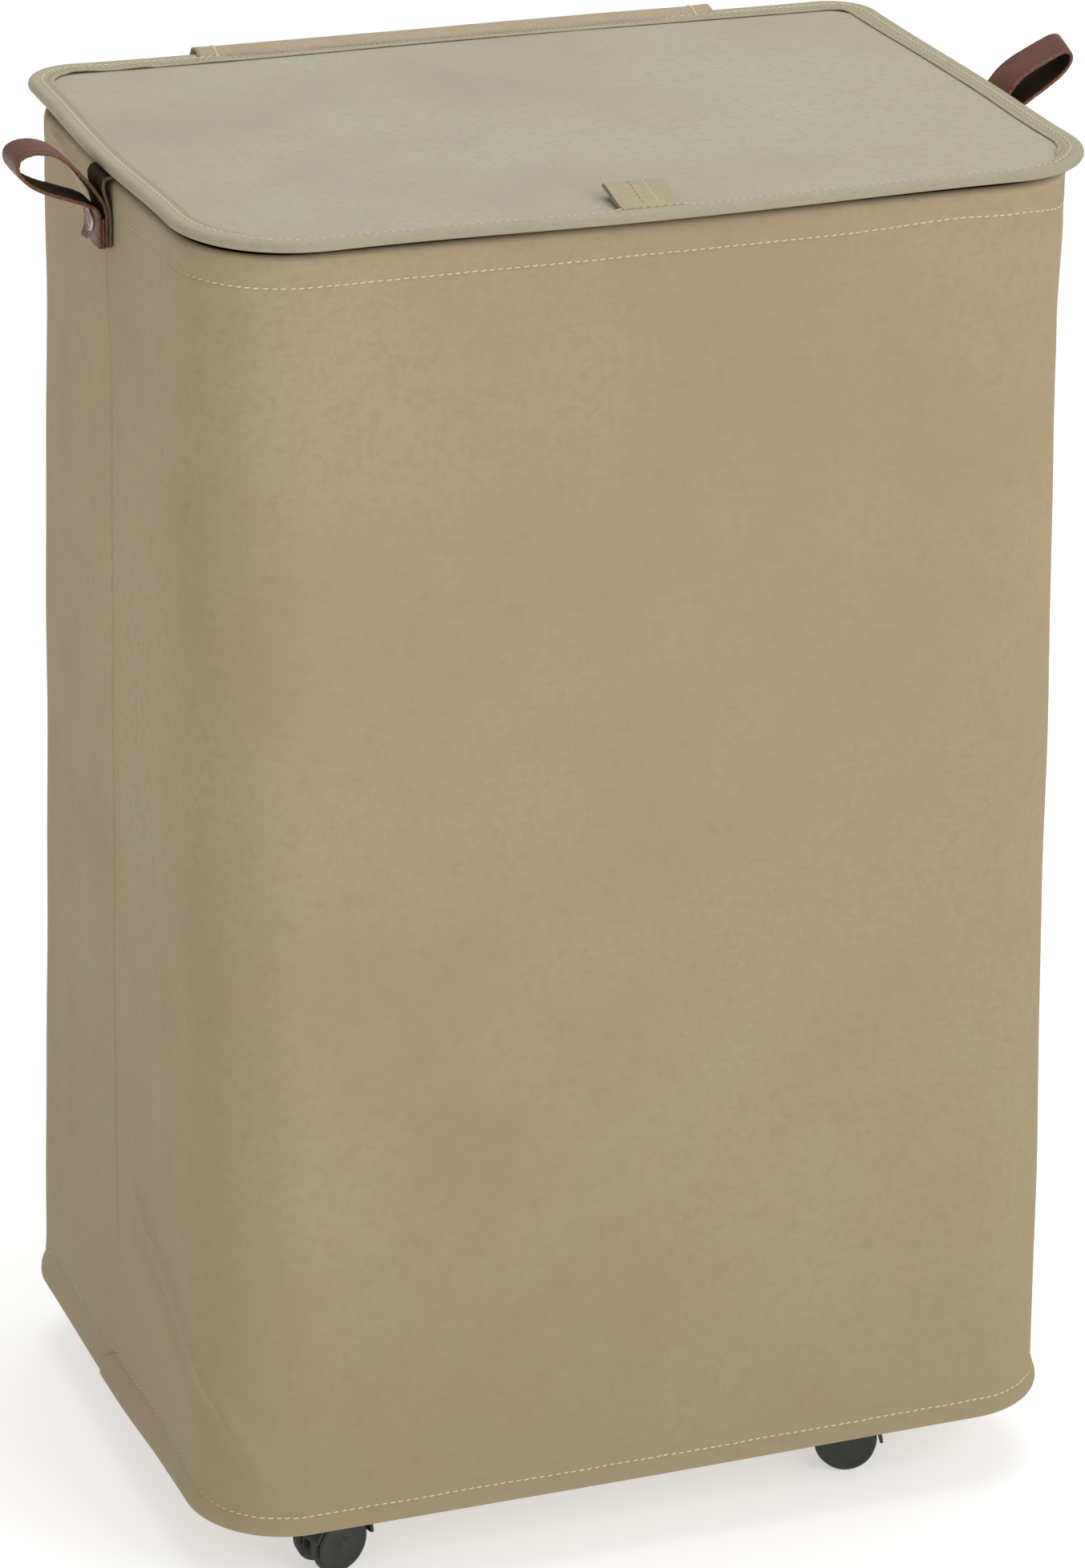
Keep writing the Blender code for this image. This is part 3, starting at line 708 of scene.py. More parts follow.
# The upper row runs straighter than the rim at the front right corner
TOP_ROW = TOP_STITCH_Z + ease(-MIDDLE[:, 1], 0.0, 0.060) * (
    0.0020 * bump(MIDDLE[:, 0], 0.150, 0.034) - 0.0042 * ease(MIDDLE[:, 0], 0.190, 0.222)
)


def hem_pucker(points, z):
    """Small gathers that the stitching pulls into both hems."""
    near = bump(z, TOP_ROW, 0.0070) + bump(z, HEM_ROW, 0.0055)
    return near * (0.00022 * waves(points, 0.011, 8) + 0.00018 * waves(points, 0.028, 9))


def hem_swell(z):
    """How far the lower hem stands out from the wall, with the grooves that both rows of stitches pull in."""
    swell = HEM_OUT * (1 - ease(z, HEM_WIRE[1], HEM_ROW + 0.0035))
    return swell - 0.00035 * bump(z, HEM_ROW, 0.0007 + 0.04 * HEM_RISE) - 0.00035 * bump(z, TOP_ROW, 0.0008)


def body_rows():
    """(height, distance out from the wall's outline, how much the cloth is free) for every row.

    The sheet runs from the inner leaf of the lower hem round the lower wire, up the wall, round the
    upper wire and down the inner leaf of the upper hem.
    """
    inner = -2.4 * CLOTH
    rows = [(z, inner, 0.0) for z in HEM_Z + np.array([0.0220, 0.0180, 0.0140, 0.0110, 0.0090])]
    rows += [(z, out, 0.0) for out, z in arc(HEM_WIRE, CASING_R, 158, 360, 13)]
    wall = [
        np.linspace(HEM_WIRE[1] + 0.0012, HEM_STITCH_Z - 0.0013, 6), HEM_STITCH_Z + np.arange(-2, 3) * 0.0004,
        np.linspace(HEM_STITCH_Z + 0.0014, HEM_STITCH_Z + 0.0240, 26),
        np.linspace(HEM_STITCH_Z + 0.0270, TOP_STITCH_Z - 0.0060, 126),
    ]
    rows += [(z, 0.0, 1.0) for z in np.concatenate(wall)]
    near_stitches = np.array([
        -0.0052, -0.0044, -0.0036, -0.0028, -0.0020, -0.0014, -0.0008, -0.0004, 0,
        0.0004, 0.0008, 0.0014, 0.0020, 0.0030, 0.0050, 0.0075, 0.0100,
    ])
    for z in TOP_STITCH_Z + near_stitches:
        rows.append((z, 0.00025 * ease(z, TOP_STITCH_Z, TOP_STITCH_Z + 0.008), 1.0))
    rows += [(z, out, 0.0) for out, z in arc((-CASING_R, RIM_Z - CASING_R), CASING_R, 0, 202, 13)]
    rows += [(z, inner, 0.0) for z in RIM_Z - np.array([0.0095, 0.0120, 0.0160, 0.0210, 0.0270])]
    return rows


def body_skin(z, out, free):
    """The (x, y, z) of every column on one row of the body's outer surface, and its outward normals."""
    shape = wall_shape(z)
    plain = at_height(shape, z)
    grow = out + free * (wall_ease(plain) + hem_pucker(plain, z) + hem_swell(z))
    return at_height(shape, z, grow), np.column_stack([OUT_X, OUT_Y, 0 * BOW])


def cloth_body():
    """The body's cloth, its two rows of stitches and the overlap of its hem."""
    grid = np.stack([body_skin(*row)[0] for row in body_rows()])
    down_the_front = grid[:, len(ROUND) // 4]
    body = grid_piece("cloth_body", grid, WALL_CANVAS, ROUND_U, lengths(down_the_front), close_columns=True)
    thicken(body, CLOTH * 0.9)
    attach(body, BODY, "canvas", "front_wrap_panel", "rear_wrap_panel", "top_hem_casing", "bottom_hem_casing")
    for name, z, out, seed in (
        ("top_hem_stitches", TOP_ROW, 0.00004, 11),
        ("bottom_hem_stitches", HEM_ROW, 0.0, 12),
    ):
        row = stitches(name, *body_skin(z, out, 1.0), WALL_THREAD, closed=True, seed=seed, slant=0.10)
        attach(row, BODY, "canvas")
    hem_lap()


def hem_lap():
    """The hem's end lies over its start on the left side, with a slanting cut edge that faces the rear."""
    span, cloth, slant = 0.110, 0.0011, 1.42
    edge_y, slant_z = 0.0170, 0.053
    left = np.flatnonzero((OUT_X == -1) & (np.abs(AT_B) < 1))
    shares = np.concatenate([np.linspace(0, 0.12, 8), np.linspace(0.15, 1, 24)])
    along_lift = cloth * (1 - 1.15 * ease(shares, 0.25, 1.0))
    # Round the casing, then up the wall: (height, the skin at it, the way out of it)
    stations = []
    for angle in np.radians(np.linspace(215, 350, 10)):
        z = HEM_WIRE[1] + CASING_R * math.sin(angle)
        skin = at_height(wall_shape(z), z, HEM_WIRE[0] + CASING_R * math.cos(angle))
        stations.append((z, skin, (-math.cos(angle), math.sin(angle))))
    for z in np.concatenate([np.linspace(HEM_WIRE[1], 0.0530, 4), np.linspace(0.0545, 0.0705, 14)]):
        stations.append((z, body_skin(z, 0.0, 1.0)[0], (-1.0, 0.0)))
    rows = []
    for z, skin, push in stations:
        y = edge_y - slant * max(0.0, z - slant_z) - shares * span
        x = np.interp(-y, -skin[left, 1], skin[left, 0])
        lift = along_lift - (along_lift + 0.0005) * ease(z, 0.0590, 0.0668)
        rows.append(np.column_stack([x + push[0] * lift, y, z + push[1] * lift]))
    grid = np.stack(rows)
    piece = grid_piece("hem_lap", grid[:, ::-1], WALL_CANVAS, grid[0, ::-1, 1], lengths(grid[:, 0]))
    thicken(piece, 0.0010, 1.0)
    attach(piece, BODY, "canvas")


def seam_tapes():
    """Cotton tape sewn inside over the two side seams."""
    for name in ("left_seam_tape", "right_seam_tape"):
        low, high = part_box(name)
        side = -1 if low.x < 0 else 1
        across, heights = np.linspace(low.y, high.y, 13), np.linspace(low.z, high.z, 90)
        y, z = np.meshgrid(across, heights)
        wall = np.array([wall_shape(height)[0] + WALL_BOW for height in heights])[:, None]
        hump = 0.0003 * bump(y, 0, 0.002) + 0.00015 * waves(np.stack([y, y, z], -1), 0.02, 5)
        x = side * (wall - CLOTH - 0.0024 - hump - 0.0012 * bump(y, 0, 0.03))
        grid = np.stack([x, y, z], -1)[:, :: side]
        piece = grid_piece(name + "_cloth", grid, TAPE_CANVAS, across, heights)
        thicken(piece, 0.0006)
        attach(piece, BODY, "canvas", name)


def rod_sleeves():
    """Cloth tubes sewn to the wall, with the stay rods in them; their mouths are slightly open."""
    sides = 20
    for name in CASTERS:
        low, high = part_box("rod_sleeve_" + name)
        centre, radius = (low + high) / 2, (high.x - low.x) / 2
        heights = np.linspace(low.z, high.z, 120)
        angle, z = np.meshgrid(2 * np.pi * np.arange(sides) / sides, heights)
        spots = np.stack([np.cos(angle) * 0.01 + centre.x, np.sin(angle) * 0.01, z], -1)
        mouth = 0.0005 * (bump(z, low.z, 0.004) + bump(z, high.z, 0.004))
        r = radius - 0.0002 + 0.00025 * waves(spots, 0.03, 6) + mouth
        grid = np.stack([centre.x + r * np.cos(angle), centre.y + r * np.sin(angle), z], -1)
        girth = 2 * math.pi * radius
        round_u = np.linspace(0, girth, sides + 1)
        piece = grid_piece("sleeve_cloth_" + name, grid, TAPE_CANVAS, round_u, heights, close_columns=True)
        thicken(piece, 0.0005)
        attach(piece, BODY, "canvas", "rod_sleeve_" + name)
        turn_rod(name)


def turn_rod(name):
    """A stay rod with chamfered ends."""
    low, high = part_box("stay_rod_" + name)
    centre, r = (low + high) / 2, (high.x - low.x) / 2
    chamfer, tip = 0.0008, r * 0.7
    profile = [(0, low.z), (tip, low.z), (r, low.z + chamfer)]
    profile += [(r, high.z - chamfer), (tip, high.z), (0, high.z)]
    rod = turned("steel_rod_" + name, profile, 24, Matrix.Translation((centre.x, centre.y, 0)), STEEL)
    attach(rod, BODY, "steel", "stay_rod_" + name)


# ---------------- lid


ON_FRONT = ease(-OUT_Y, 0.55, 0.95)
# How far in from the lid's edge the binding's flat legs end: short at the front, long elsewhere
REACH = 0.0130 - 0.0050 * ON_FRONT + 0.0003 * waves(on_lid(0, 0), 0.09, 21)


def lid_cloth():
    """The lid's cloth, sewn tight under its binding, with a slight sag and soft waves."""
    base = loop(LID, -0.0036)
    rows = []
    for share in np.concatenate([np.linspace(1, 0.86, 14), np.linspace(0.83, 0.03, 34)]):
        points = np.column_stack([base * share, np.full(len(base), LID_Z)])
        points[:, 2] += lid_lift(points)
        free = ease(1 - share, 0.02, 0.22)
        sag = -0.0012 * ease(1 - share, 0.02, 0.9)
        rise = free * (0.0007 * waves(points, 0.19, 31) + 0.00035 * waves(points, 0.06, 32)) + sag
        points[:, 2] += LID_CLOTH / 2 + rise
        rows.append(points)
    piece = disc_piece("lid_cloth", np.stack(rows), LID_CANVAS)
    thicken(piece, LID_CLOTH)
    attach(piece, "lid", "lid_canvas", "lid_panel")


# Where the binding's upper leg meets its tube, and where its legs lie on the lid's cloth
SHOULDER_DEGREES = 102
SHOULDER = math.radians(SHOULDER_DEGREES)
SHOULDER_OUT, SHOULDER_UP = BINDING_R * (math.cos(SHOULDER) - 1), BINDING_R * math.sin(SHOULDER)
LEG_Z = LID_CLOTH / 2 + 0.0001
# The cloth gathers most at the corners, and stands up in a few folds at the rear left one
GATHER = 0.2 + 0.8 * ease(CORNER, 0.1, 0.9)
EDGE_SPOTS = on_lid(-0.008, 0)
EDGE_X, EDGE_Y = EDGE_SPOTS[:, 0], EDGE_SPOTS[:, 1]
REAR_LEFT = ease(-EDGE_X, 0.110, 0.150) * ease(EDGE_Y, 0.100, 0.135)
EDGE_LIFT = (
    0.00015 + GATHER * 0.0004 * (1 + waves(EDGE_SPOTS, 0.016, 41)) * (1 - 0.7 * ON_FRONT)
    + REAR_LEFT * 0.0010 * np.clip(waves(EDGE_SPOTS, 0.026, 43), 0, 1)
)
# The binding's edge is pushed up where the pull tab comes out from under it
EDGE_LIFT += 0.0014 * ON_FRONT * ease(EDGE_X, -0.030, -0.025) * (1 - ease(EDGE_X, 0.007, 0.012))
PUCKER = GATHER * 0.00028 * waves(EDGE_SPOTS, 0.0085, 42)


def leg(share, lifted=1.0):
    """The binding's upper leg, at a share of the way from its inner edge to the tube: (out, up)."""
    out = -REACH + share * (SHOULDER_OUT + REACH)
    low = LEG_Z + 0.0009
    sloped = low + (SHOULDER_UP - low) * np.maximum(share, 0) ** 1.7 - 0.00022 * bump(share, 0.5, 0.15)
    snug = np.maximum(low, np.sqrt(np.clip(BINDING_R**2 - (out + BINDING_R) ** 2, 0, None)))
    shape = snug + (sloped - snug) * (1 - ON_FRONT) * lifted
    return out, shape + lifted * (1 - share) * (EDGE_LIFT + PUCKER)


def lid_binding():
    """A strip folded round the lid's wire, its two legs sewn through the lid's cloth."""
    r, skin = BINDING_R, 0.0007
    girth, cut_width = along_loop(loop(LID)), 0.034
    shares = np.array([0.06, 0.14, 0.24, 0.34, 0.44, 0.54, 0.64, 0.74, 0.84, 0.93])
    top = [(-REACH, LEG_Z + EDGE_LIFT * 0.9), (-REACH - 0.0001, LEG_Z + 0.0005 + EDGE_LIFT)]
    top += [leg(share) for share in shares]
    tube = [(out, up) for out, up in arc((-r, 0), r, SHOULDER_DEGREES, -SHOULDER_DEGREES, 20)]
    low = [(out, -up) for out, up in (leg(share, 0.0) for share in shares[::-1])]
    low += [(-REACH, -LEG_Z - 0.0006), (-REACH, -LEG_Z)]
    middle_out, middle_up = leg(0.5)
    inside = [(middle_out, -LEG_Z)]
    inside += [(out, up) for out, up in arc((-r, 0), r - skin, -150, 150, 12)]
    inside += [(middle_out, np.maximum(LEG_Z, middle_up - skin))]
    grid = np.stack([on_lid(out, up) for out, up in top + tube + low + inside])
    piece = grid_piece("lid_edge_binding", grid, BINDING_CANVAS, girth, along_loop(grid[:, 0]), True, True)
    attach(piece, "lid", "lid_canvas", "lid_binding")
    lid_stitches()


def lid_stitches():
    """Thread rows on the binding: one right round, and a fine zigzag one on the wide legs."""
    up = np.column_stack([0 * OUT_X, 0 * OUT_X, 1 + 0 * OUT_X])
    lean = up - 0.25 * np.column_stack([OUT_X, OUT_Y, 0 * OUT_X])

    def at(out):
        return leg((out + REACH) / (SHOULDER_OUT + REACH))

    row_out, row_up = at(-(0.0068 - 0.0004 * ON_FRONT))
    row = stitches("lid_edge_stitches", on_lid(row_out, row_up + 0.0001), lean, THREAD, closed=True, seed=21,
                   radius=0.00033, slant=0.12)
    attach(row, "lid", "lid_canvas")
    keep = ON_FRONT < 0.35
    order = np.roll(np.arange(len(ROUND)), -int(np.argmax(~keep)))
    order = order[keep[order]]
    band_out, band_up = at(-0.0102)
    fine = stitches("lid_edge_fine_stitches", on_lid(band_out, band_up)[order], up[order], FINE_THREAD,
                    pitch=0.0016, long=0.0038, radius=0.0002, seed=22, zigzag=1.12)
    attach(fine, "lid", "lid_canvas")


def ring_wires():
    """The three bent wires, each a round rod carried right round its outline."""
    radius, sides = 0.0018, 14
    section = arc((0, 0), radius, 0, 360 - 360 / sides, sides - 1)
    body_rings = (
        ("steel_rim_ring", "top_ring_wire", wall_shape(RIM_Z), -CASING_R, RIM_Z - CASING_R),
        ("steel_hem_ring", "bottom_ring_wire", wall_shape(HEM_Z), *HEM_WIRE),
    )
    for name, node, shape, grow, z in body_rings:
        ring_piece(name, node, [at_height(shape, z + up, grow + out) for out, up in section], BODY)
    ring_piece("steel_lid_ring", "lid_ring_wire", [on_lid(out - BINDING_R, up) for out, up in section], "lid")


def ring_piece(name, node, rows, rider):
    """A closed wire from its rows of points, one row for each side of its section."""
    faces = grid_faces(len(rows), len(ROUND), True, True).tolist()
    piece = mesh_piece(name, np.stack(rows), faces, STEEL, outward=True)
    attach(piece, rider, "steel", node)


# ---------------- cloth strips of the lid


def strip(name, route, low, high, finish, shift=None):
    """A strip of cloth: a route of (y, z) points carried from x = low to x = high."""
    x = np.linspace(low, high, 90)
    grid = np.zeros((len(route), len(x), 3))
    grid[..., 0] = x
    grid[..., 1] = route[:, 0, None]
    grid[..., 2] = route[:, 1, None]
    if shift is not None:
        grid += shift(grid)
    piece = grid_piece(name, grid, finish, x, lengths(route))
    thicken(piece, STRIP_CLOTH, 0.0)
    return piece


def hinge_tapes():
    """The cloth hinge: the lid's half wraps the binding, the wall's half is sewn to the rear."""
    tape_low, tape_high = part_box("hinge_tape_lid_side")
    low, high = tape_low.x, tape_high.x
    axis = next(j for j in frame["joints"] if j["name"] == "lid_hinge")["pos_m"]
    lid_top = LID_Z + LID_CLOTH / 2
    edge_y, crown_y, end_in = 0.1488, 0.157, 0.0100
    upper = spline([
        (edge_y, lid_top + 0.0004), (0.1490, lid_top + 0.0012), (0.1503, lid_top + 0.0026),
        (0.1528, lid_top + 0.0038), (0.1562, lid_top + 0.0042), (0.1592, lid_top + 0.0036),
        (0.1613, lid_top + 0.0018), (0.1626, lid_top - 0.0006), (0.1639, lid_top - 0.0032), axis[1:],
    ])

    def ripple(grid):
        """Soft waves along the crown and the sewn edge, raised at both ends of the tape."""
        x, y = grid[..., 0], grid[..., 1]
        spots = grid * [1, 0, 0]
        ends = bump(x, low, 0.007) + 0.6 * bump(x, high, 0.008)
        crown, foot = bump(y, crown_y, 0.006), bump(y, edge_y, 0.0022)
        move = np.zeros(grid.shape)
        past_stitches = ease(x, low + 0.0120, low + 0.0160)
        move[..., 2] = crown * (0.00030 * waves(spots, 0.07, 51) + 0.0005 * ends)
        move[..., 2] += foot * (0.0002 * waves(spots, 0.03, 52) + 0.0005 * past_stitches)
        move[..., 1] = 0.0003 * waves(spots, 0.09, 53) * foot
        return move

    top = strip("hinge_tape_over_lid", upper, low, high, TAPE_CANVAS, ripple)
    attach(top, "lid", "lid_canvas", "hinge_tape_lid_side")
    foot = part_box("hinge_tape_body_side")[0]
    back_y = foot.y + 0.0005
    lower = spline([
        (back_y, foot.z), (back_y, 0.6750), (back_y, 0.6860), (back_y + 0.0006, 0.6920),
        (back_y + 0.0026, 0.6955), (0.1595, 0.6978), (0.1625, 0.6990), axis[1:],
    ])
    back = strip("hinge_tape_on_wall", lower, low, high, TAPE_CANVAS)
    attach(back, BODY, "canvas", "hinge_tape_body_side")
    # Stitches: a row across near each end, from the sewn edge to short of the axis, and two on the wall
    outward, sewn = sideways(upper), slice(6, len(upper) - 24)
    normals = np.column_stack([np.zeros(len(upper)), outward])[sewn]
    surface = (upper + outward * 0.0004)[sewn]
    for name, x in (("hinge_tape_left_stitches", low + end_in), ("hinge_tape_right_stitches", high - end_in)):
        path = np.column_stack([np.full(len(surface), x), surface])
        path += ripple(path[None])[0]
        row = stitches(name, path, normals, THREAD, pitch=0.0027, long=0.0026, radius=0.00045)
        attach(row, "lid", "lid_canvas")
    x = np.linspace(low + 0.002, high - 0.002, 60)
    level = np.ones(60)
    for name, z in (("hinge_tape_lower_stitches", 0.6700), ("hinge_tape_upper_stitches", 0.6835)):
        path = np.column_stack([x, level * (back_y + 0.0005), level * z])
        row = stitches(name, path, np.column_stack([0 * x, level, 0 * x]), THREAD)
        attach(row, BODY, "canvas")


def pull_tab():
    """A strip folded into a flat loop; two rows of thread close it, and its left end gapes."""
    tab_low, tab_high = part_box("pull_tab")
    low, high = tab_low.x, tab_high.x
    floor = LID_Z + 0.0014
    under = [(-0.1560, 0.0004), (-0.1500, 0.0007), (-0.1420, 0.0022), (-0.1350, 0.0038), (-0.1305, 0.0046)]
    tip_y, ply_gap = -0.1292, 0.0010
    spread = (0.0, 0.3, 0.9, 1.0, 0.6)

    def route(gape):
        """The loop's section, from the front end of its lower ply round the tip and back."""
        below = [(y, floor + z) for y, z in under]
        above = [(y, z + ply_gap + gape * share) for (y, z), share in zip(below, spread)]
        return spline(below + [(tip_y, (below[-1][1] + above[-1][1]) / 2)] + above[::-1])

    x = np.linspace(low + 0.0009, high, 64)
    gape = 0.0008 * (1 - ease(x, low, -0.0130)) ** 1.2
    routes = np.stack([route(g) for g in gape], 1)
    across = np.broadcast_to(x[None, :, None], routes.shape[:2] + (1,))
    grid = np.concatenate([across, routes], -1)
    hump = 0.0004 * bump(grid[..., 0], -0.004, 0.008) * ease(grid[..., 1], -0.150, -0.130)
    grid[..., 2] += lid_lift(grid) + hump
    piece = grid_piece("pull_tab_cloth", grid, TAB_CANVAS, x, lengths(routes[:, 0]))
    thicken(piece, STRIP_CLOTH, 0.0)
    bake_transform(piece)
    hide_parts("pull_tab")
    # Two rows of thread through both plies, along the tab
    half = len(routes) // 2
    rows = (("tab_left_stitches", -0.0117, DARK_THREAD), ("tab_right_stitches", -0.0043, THREAD))
    for name, at, finish in rows:
        path = grid[half + 5 : -8, np.argmin(np.abs(x - at))] + [0, 0, 0.0004]
        up = np.tile([0.0, 0.0, 1.0], (len(path), 1))
        row = stitches(name, path, up, finish, pitch=0.0030, long=0.0021, radius=0.00024)
        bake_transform(row)


# ---------------- leather


STRAP_W, STRAP_T = 0.0250, 0.0017
# The outside of the two side walls at the handles' height
WALL_X = float(wall_shape(0.684)[0]) + WALL_BOW + 0.0003
# Faces of a strap's section, which are also its material slots
ON_GRAIN, ON_EDGE, ON_FLESH = 0, 1, 2


def strap(name, route, side, flip=1, width=STRAP_W, thickness=STRAP_T, sway=None, per_span=9, face=None):
    """A leather strap along (distance out, height) stops: creased grain face, rough edges, flesh back."""
    line = spline(route, per_span)
    normal = sideways(line) * flip
    half, edge, t = width / 2, 0.0005, thickness / 2
    face_y = np.linspace(-half + edge, half - edge, 27)
    crease_depth = 0.00030 * bump(np.abs(face_y), half - 0.0021, 0.0005)
    crown = 0.00018 * (1 - (face_y / half) ** 2)
    cut_edge = [
        (half - 0.0002, t * 0.72), (half, t * 0.25), (half - 0.00012, 0), (half, -t * 0.35),
        (half - 0.0002, -t * 0.8),
    ]
    # The section runs over the grain face, down one edge, back over the flesh face and up the other edge
    section = [(y, t + c - d, ON_GRAIN) for y, c, d in zip(face_y, crown, crease_depth)]
    section += [(y, level, ON_EDGE) for y, level in cut_edge]
    section += [(y, -t, ON_FLESH) for y in face_y[::-2]]
    section += [(-y, level, ON_EDGE) for y, level in cut_edge[::-1]]
    across, level, kinds = (np.array(values) for values in zip(*section))
    rows, columns = len(line), len(section)
    spots = np.stack(np.broadcast_arrays(line[:, :1], across[None], line[:, 1:]), -1)
    level = level + np.where(kinds == ON_GRAIN, 0.00004, 0.00012) * waves(spots, 0.0032, 61)
    grid = np.zeros((rows, columns, 3))
    grid[..., 0] = line[:, :1] + normal[:, :1] * level
    grid[..., 1] = across + np.where(kinds == ON_EDGE, 0.00012, 0.0) * waves(spots, 0.0026, 62)
    grid[..., 2] = line[:, 1:] + normal[:, 1:] * level
    if sway is not None:
        grid += sway(grid)
    grid[..., 0] = side * (WALL_X + grid[..., 0])
    faces = grid_faces(rows, columns, close_columns=True).tolist()
    faces += [list(range(columns))[::-1], list(range((rows - 1) * columns, rows * columns))]
    marks = np.tile(np.where(kinds == np.roll(kinds, -1), kinds, ON_EDGE), rows - 1)
    piece = mesh_piece(name, grid, faces, [face or GRAIN, face or EDGE, FLESH], outward=True)
    piece.data.polygons.foreach_set("material_index", marks.tolist() + [ON_EDGE, ON_EDGE])
    return piece


def leather_handle(name, side, loop_stops, sway=None):
    """One handle: its loop with both ends riveted to the wall, the filler between them and the hanger."""
    tail_low, tail_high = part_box(name + "_handle_tail")
    low, head = tail_low.z, tail_high.z
    inner, outer = 0.0029, 0.0064
    middle = (inner + outer) / 2
    route = [(outer, low), (outer, low + 0.006), (outer, head - 0.003)] + loop_stops
    route += [(inner, head - 0.003), (inner, low + 0.006), (inner, low + 0.0002)]

    def worn_end(grid):
        """The cut end of the outer ply: ragged, with a small notch, its far corner curling outwards."""
        y = grid[..., 1]
        move = np.zeros(grid.shape) if sway is None else sway(grid)
        end = (1 - ease(grid[..., 2], low, low + 0.0060)) * (grid[..., 0] > middle)
        ragged = 0.0007 * waves(grid * [0, 1, 0], 0.009, 63)
        move[..., 2] += end * (ragged + 0.0020 * bump(y, 0.002, 0.0012))
        move[..., 0] += end * 0.0014 * ease(y, 0.002, 0.0125)
        return move

    loop_strap = strap(name + "_strap_loop", route, side, flip=-1, sway=worn_end, per_span=12)
    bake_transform(loop_strap)
    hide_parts(name + "_handle_loop", name + "_handle_tail")
    filler_route = [(middle, low - 0.0003), (middle, low + 0.008), (middle, head - 0.002)]
    filler = strap(name + "_strap_filler", filler_route, side, thickness=0.0016, width=STRAP_W - 0.0004)
    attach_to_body(filler, BODY)
    hanger_route = [
        (0.0011, low + 0.0003), (0.0011, low + 0.0100), (0.0012, low + 0.0160), (0.0022, low + 0.0215),
        (0.0036, low + 0.0260), (0.0044, low + 0.0300), (0.0038, low + 0.0332), (0.0018, low + 0.0346),
        (-0.0020, low + 0.0348), (-0.0052, low + 0.0344),
    ]
    hanger = strap(name + "_strap_hanger", hanger_route, side, face=HANGER_GRAIN)
    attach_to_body(hanger, BODY)
    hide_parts(name + "_hanger_strap")
    rivet(name, side)


def rivet(name, side):
    """A domed cap rivet through the strap ends, with its flat post head inside."""
    low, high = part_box(name + "_handle_rivet")
    inner, reach = sorted((abs(low.x), abs(high.x)))
    span, head, post = reach - inner, 0.0055, 0.0016
    profile = [
        (0, 0), (head * 0.78, 0), (head * 0.84, 0.0003), (head * 0.84, 0.0008), (post, 0.0010),
        (post, span - 0.0018), (head * 0.96, span - 0.0018), (head, span - 0.0015), (head, span - 0.0009),
        (head * 0.97, span - 0.0005), (head * 0.91, span - 0.0002), (head * 0.85, span - 0.0002),
        (head * 0.80, span - 0.0005), (head * 0.74, span - 0.0005), (head * 0.5, span - 0.0003),
        (head * 0.2, span - 0.0002), (0, span - 0.0002),
    ]
    placed = Matrix.Translation((side * inner, 0, (low.z + high.z) / 2))
    placed = placed @ Matrix.Rotation(side * math.pi / 2, 4, "Y")
    steps, shaded_bands = 48, 4
    piece = turned(name + "_cap_rivet", profile, steps, placed, [NICKEL, SHADED_NICKEL])
    # The cap's face inside its rim is rougher and painted darker, a painted reflection of the dark leather
    # round it; the last faces close the two heads by turns
    bands = len(profile) - 3
    marks = [int(band >= bands - shaded_bands) for band in range(bands) for _ in range(steps)] + [0, 1] * steps
    piece.data.polygons.foreach_set("material_index", marks)
    attach(piece, BODY, "nickel", name + "_handle_rivet")


# The two loops as (distance out, height) stops, from the outer ply's head round to the inner one's
LEFT_LOOP = [
    (0.0074, 0.6842), (0.0112, 0.6870), (0.0174, 0.6896), (0.0256, 0.6926), (0.0344, 0.6962),
    (0.0412, 0.7006), (0.0455, 0.7062), (0.0456, 0.7116), (0.0412, 0.7146), (0.0340, 0.7150),
    (0.0268, 0.7128), (0.0204, 0.7080), (0.0150, 0.7022), (0.0102, 0.6964), (0.0062, 0.6908),
    (0.0036, 0.6856),
]
RIGHT_LOOP = [
    (0.0074, 0.6842), (0.0110, 0.6866), (0.0176, 0.6904), (0.0258, 0.6962), (0.0340, 0.7014),
    (0.0410, 0.7064), (0.0450, 0.7103), (0.0474, 0.7148), (0.0466, 0.7180), (0.0430, 0.7190),
    (0.0372, 0.7168), (0.0300, 0.7134), (0.0234, 0.7098), (0.0180, 0.7054), (0.0130, 0.6990),
    (0.0078, 0.6916), (0.0038, 0.6856),
]


def handles():
    """The left handle and the right one, whose loop is twisted."""
    def twist(grid):
        """The right loop's far edge is lifted and carried outwards."""
        far = ease(grid[..., 0], 0.010, 0.047) * (grid[..., 1] / STRAP_W + 0.5)
        return far[..., None] * [0.0050, 0, 0.0022]

    leather_handle("left", -1, LEFT_LOOP)
    leather_handle("right", 1, RIGHT_LOOP, twist)


# ---------------- base


def base_cloth():
    """The cloth floor under the board, gathered into the hem."""
    low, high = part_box("base_cloth")
    base = loop((high.x, high.y, 0.045, 0.0))
    rows = []
    for share in np.concatenate([np.linspace(1, 0.9, 8), np.linspace(0.86, 0.03, 24)]):
        points = np.column_stack([base * share, np.full(len(base), low.z)])
        points[:, 2] += 0.00015 * waves(points, 0.08, 71)
        rows.append(points)
    piece = disc_piece("base_cloth_sheet", np.stack(rows)[:, ::-1], WALL_CANVAS)
    thicken(piece, STRIP_CLOTH)
    attach(piece, BODY, "canvas", "base_cloth")


# ---------------- casters


# How far a wheel's inner and outer faces are from the middle of its caster
WHEEL_INNER, WHEEL_OUTER = 0.0023, 0.0115


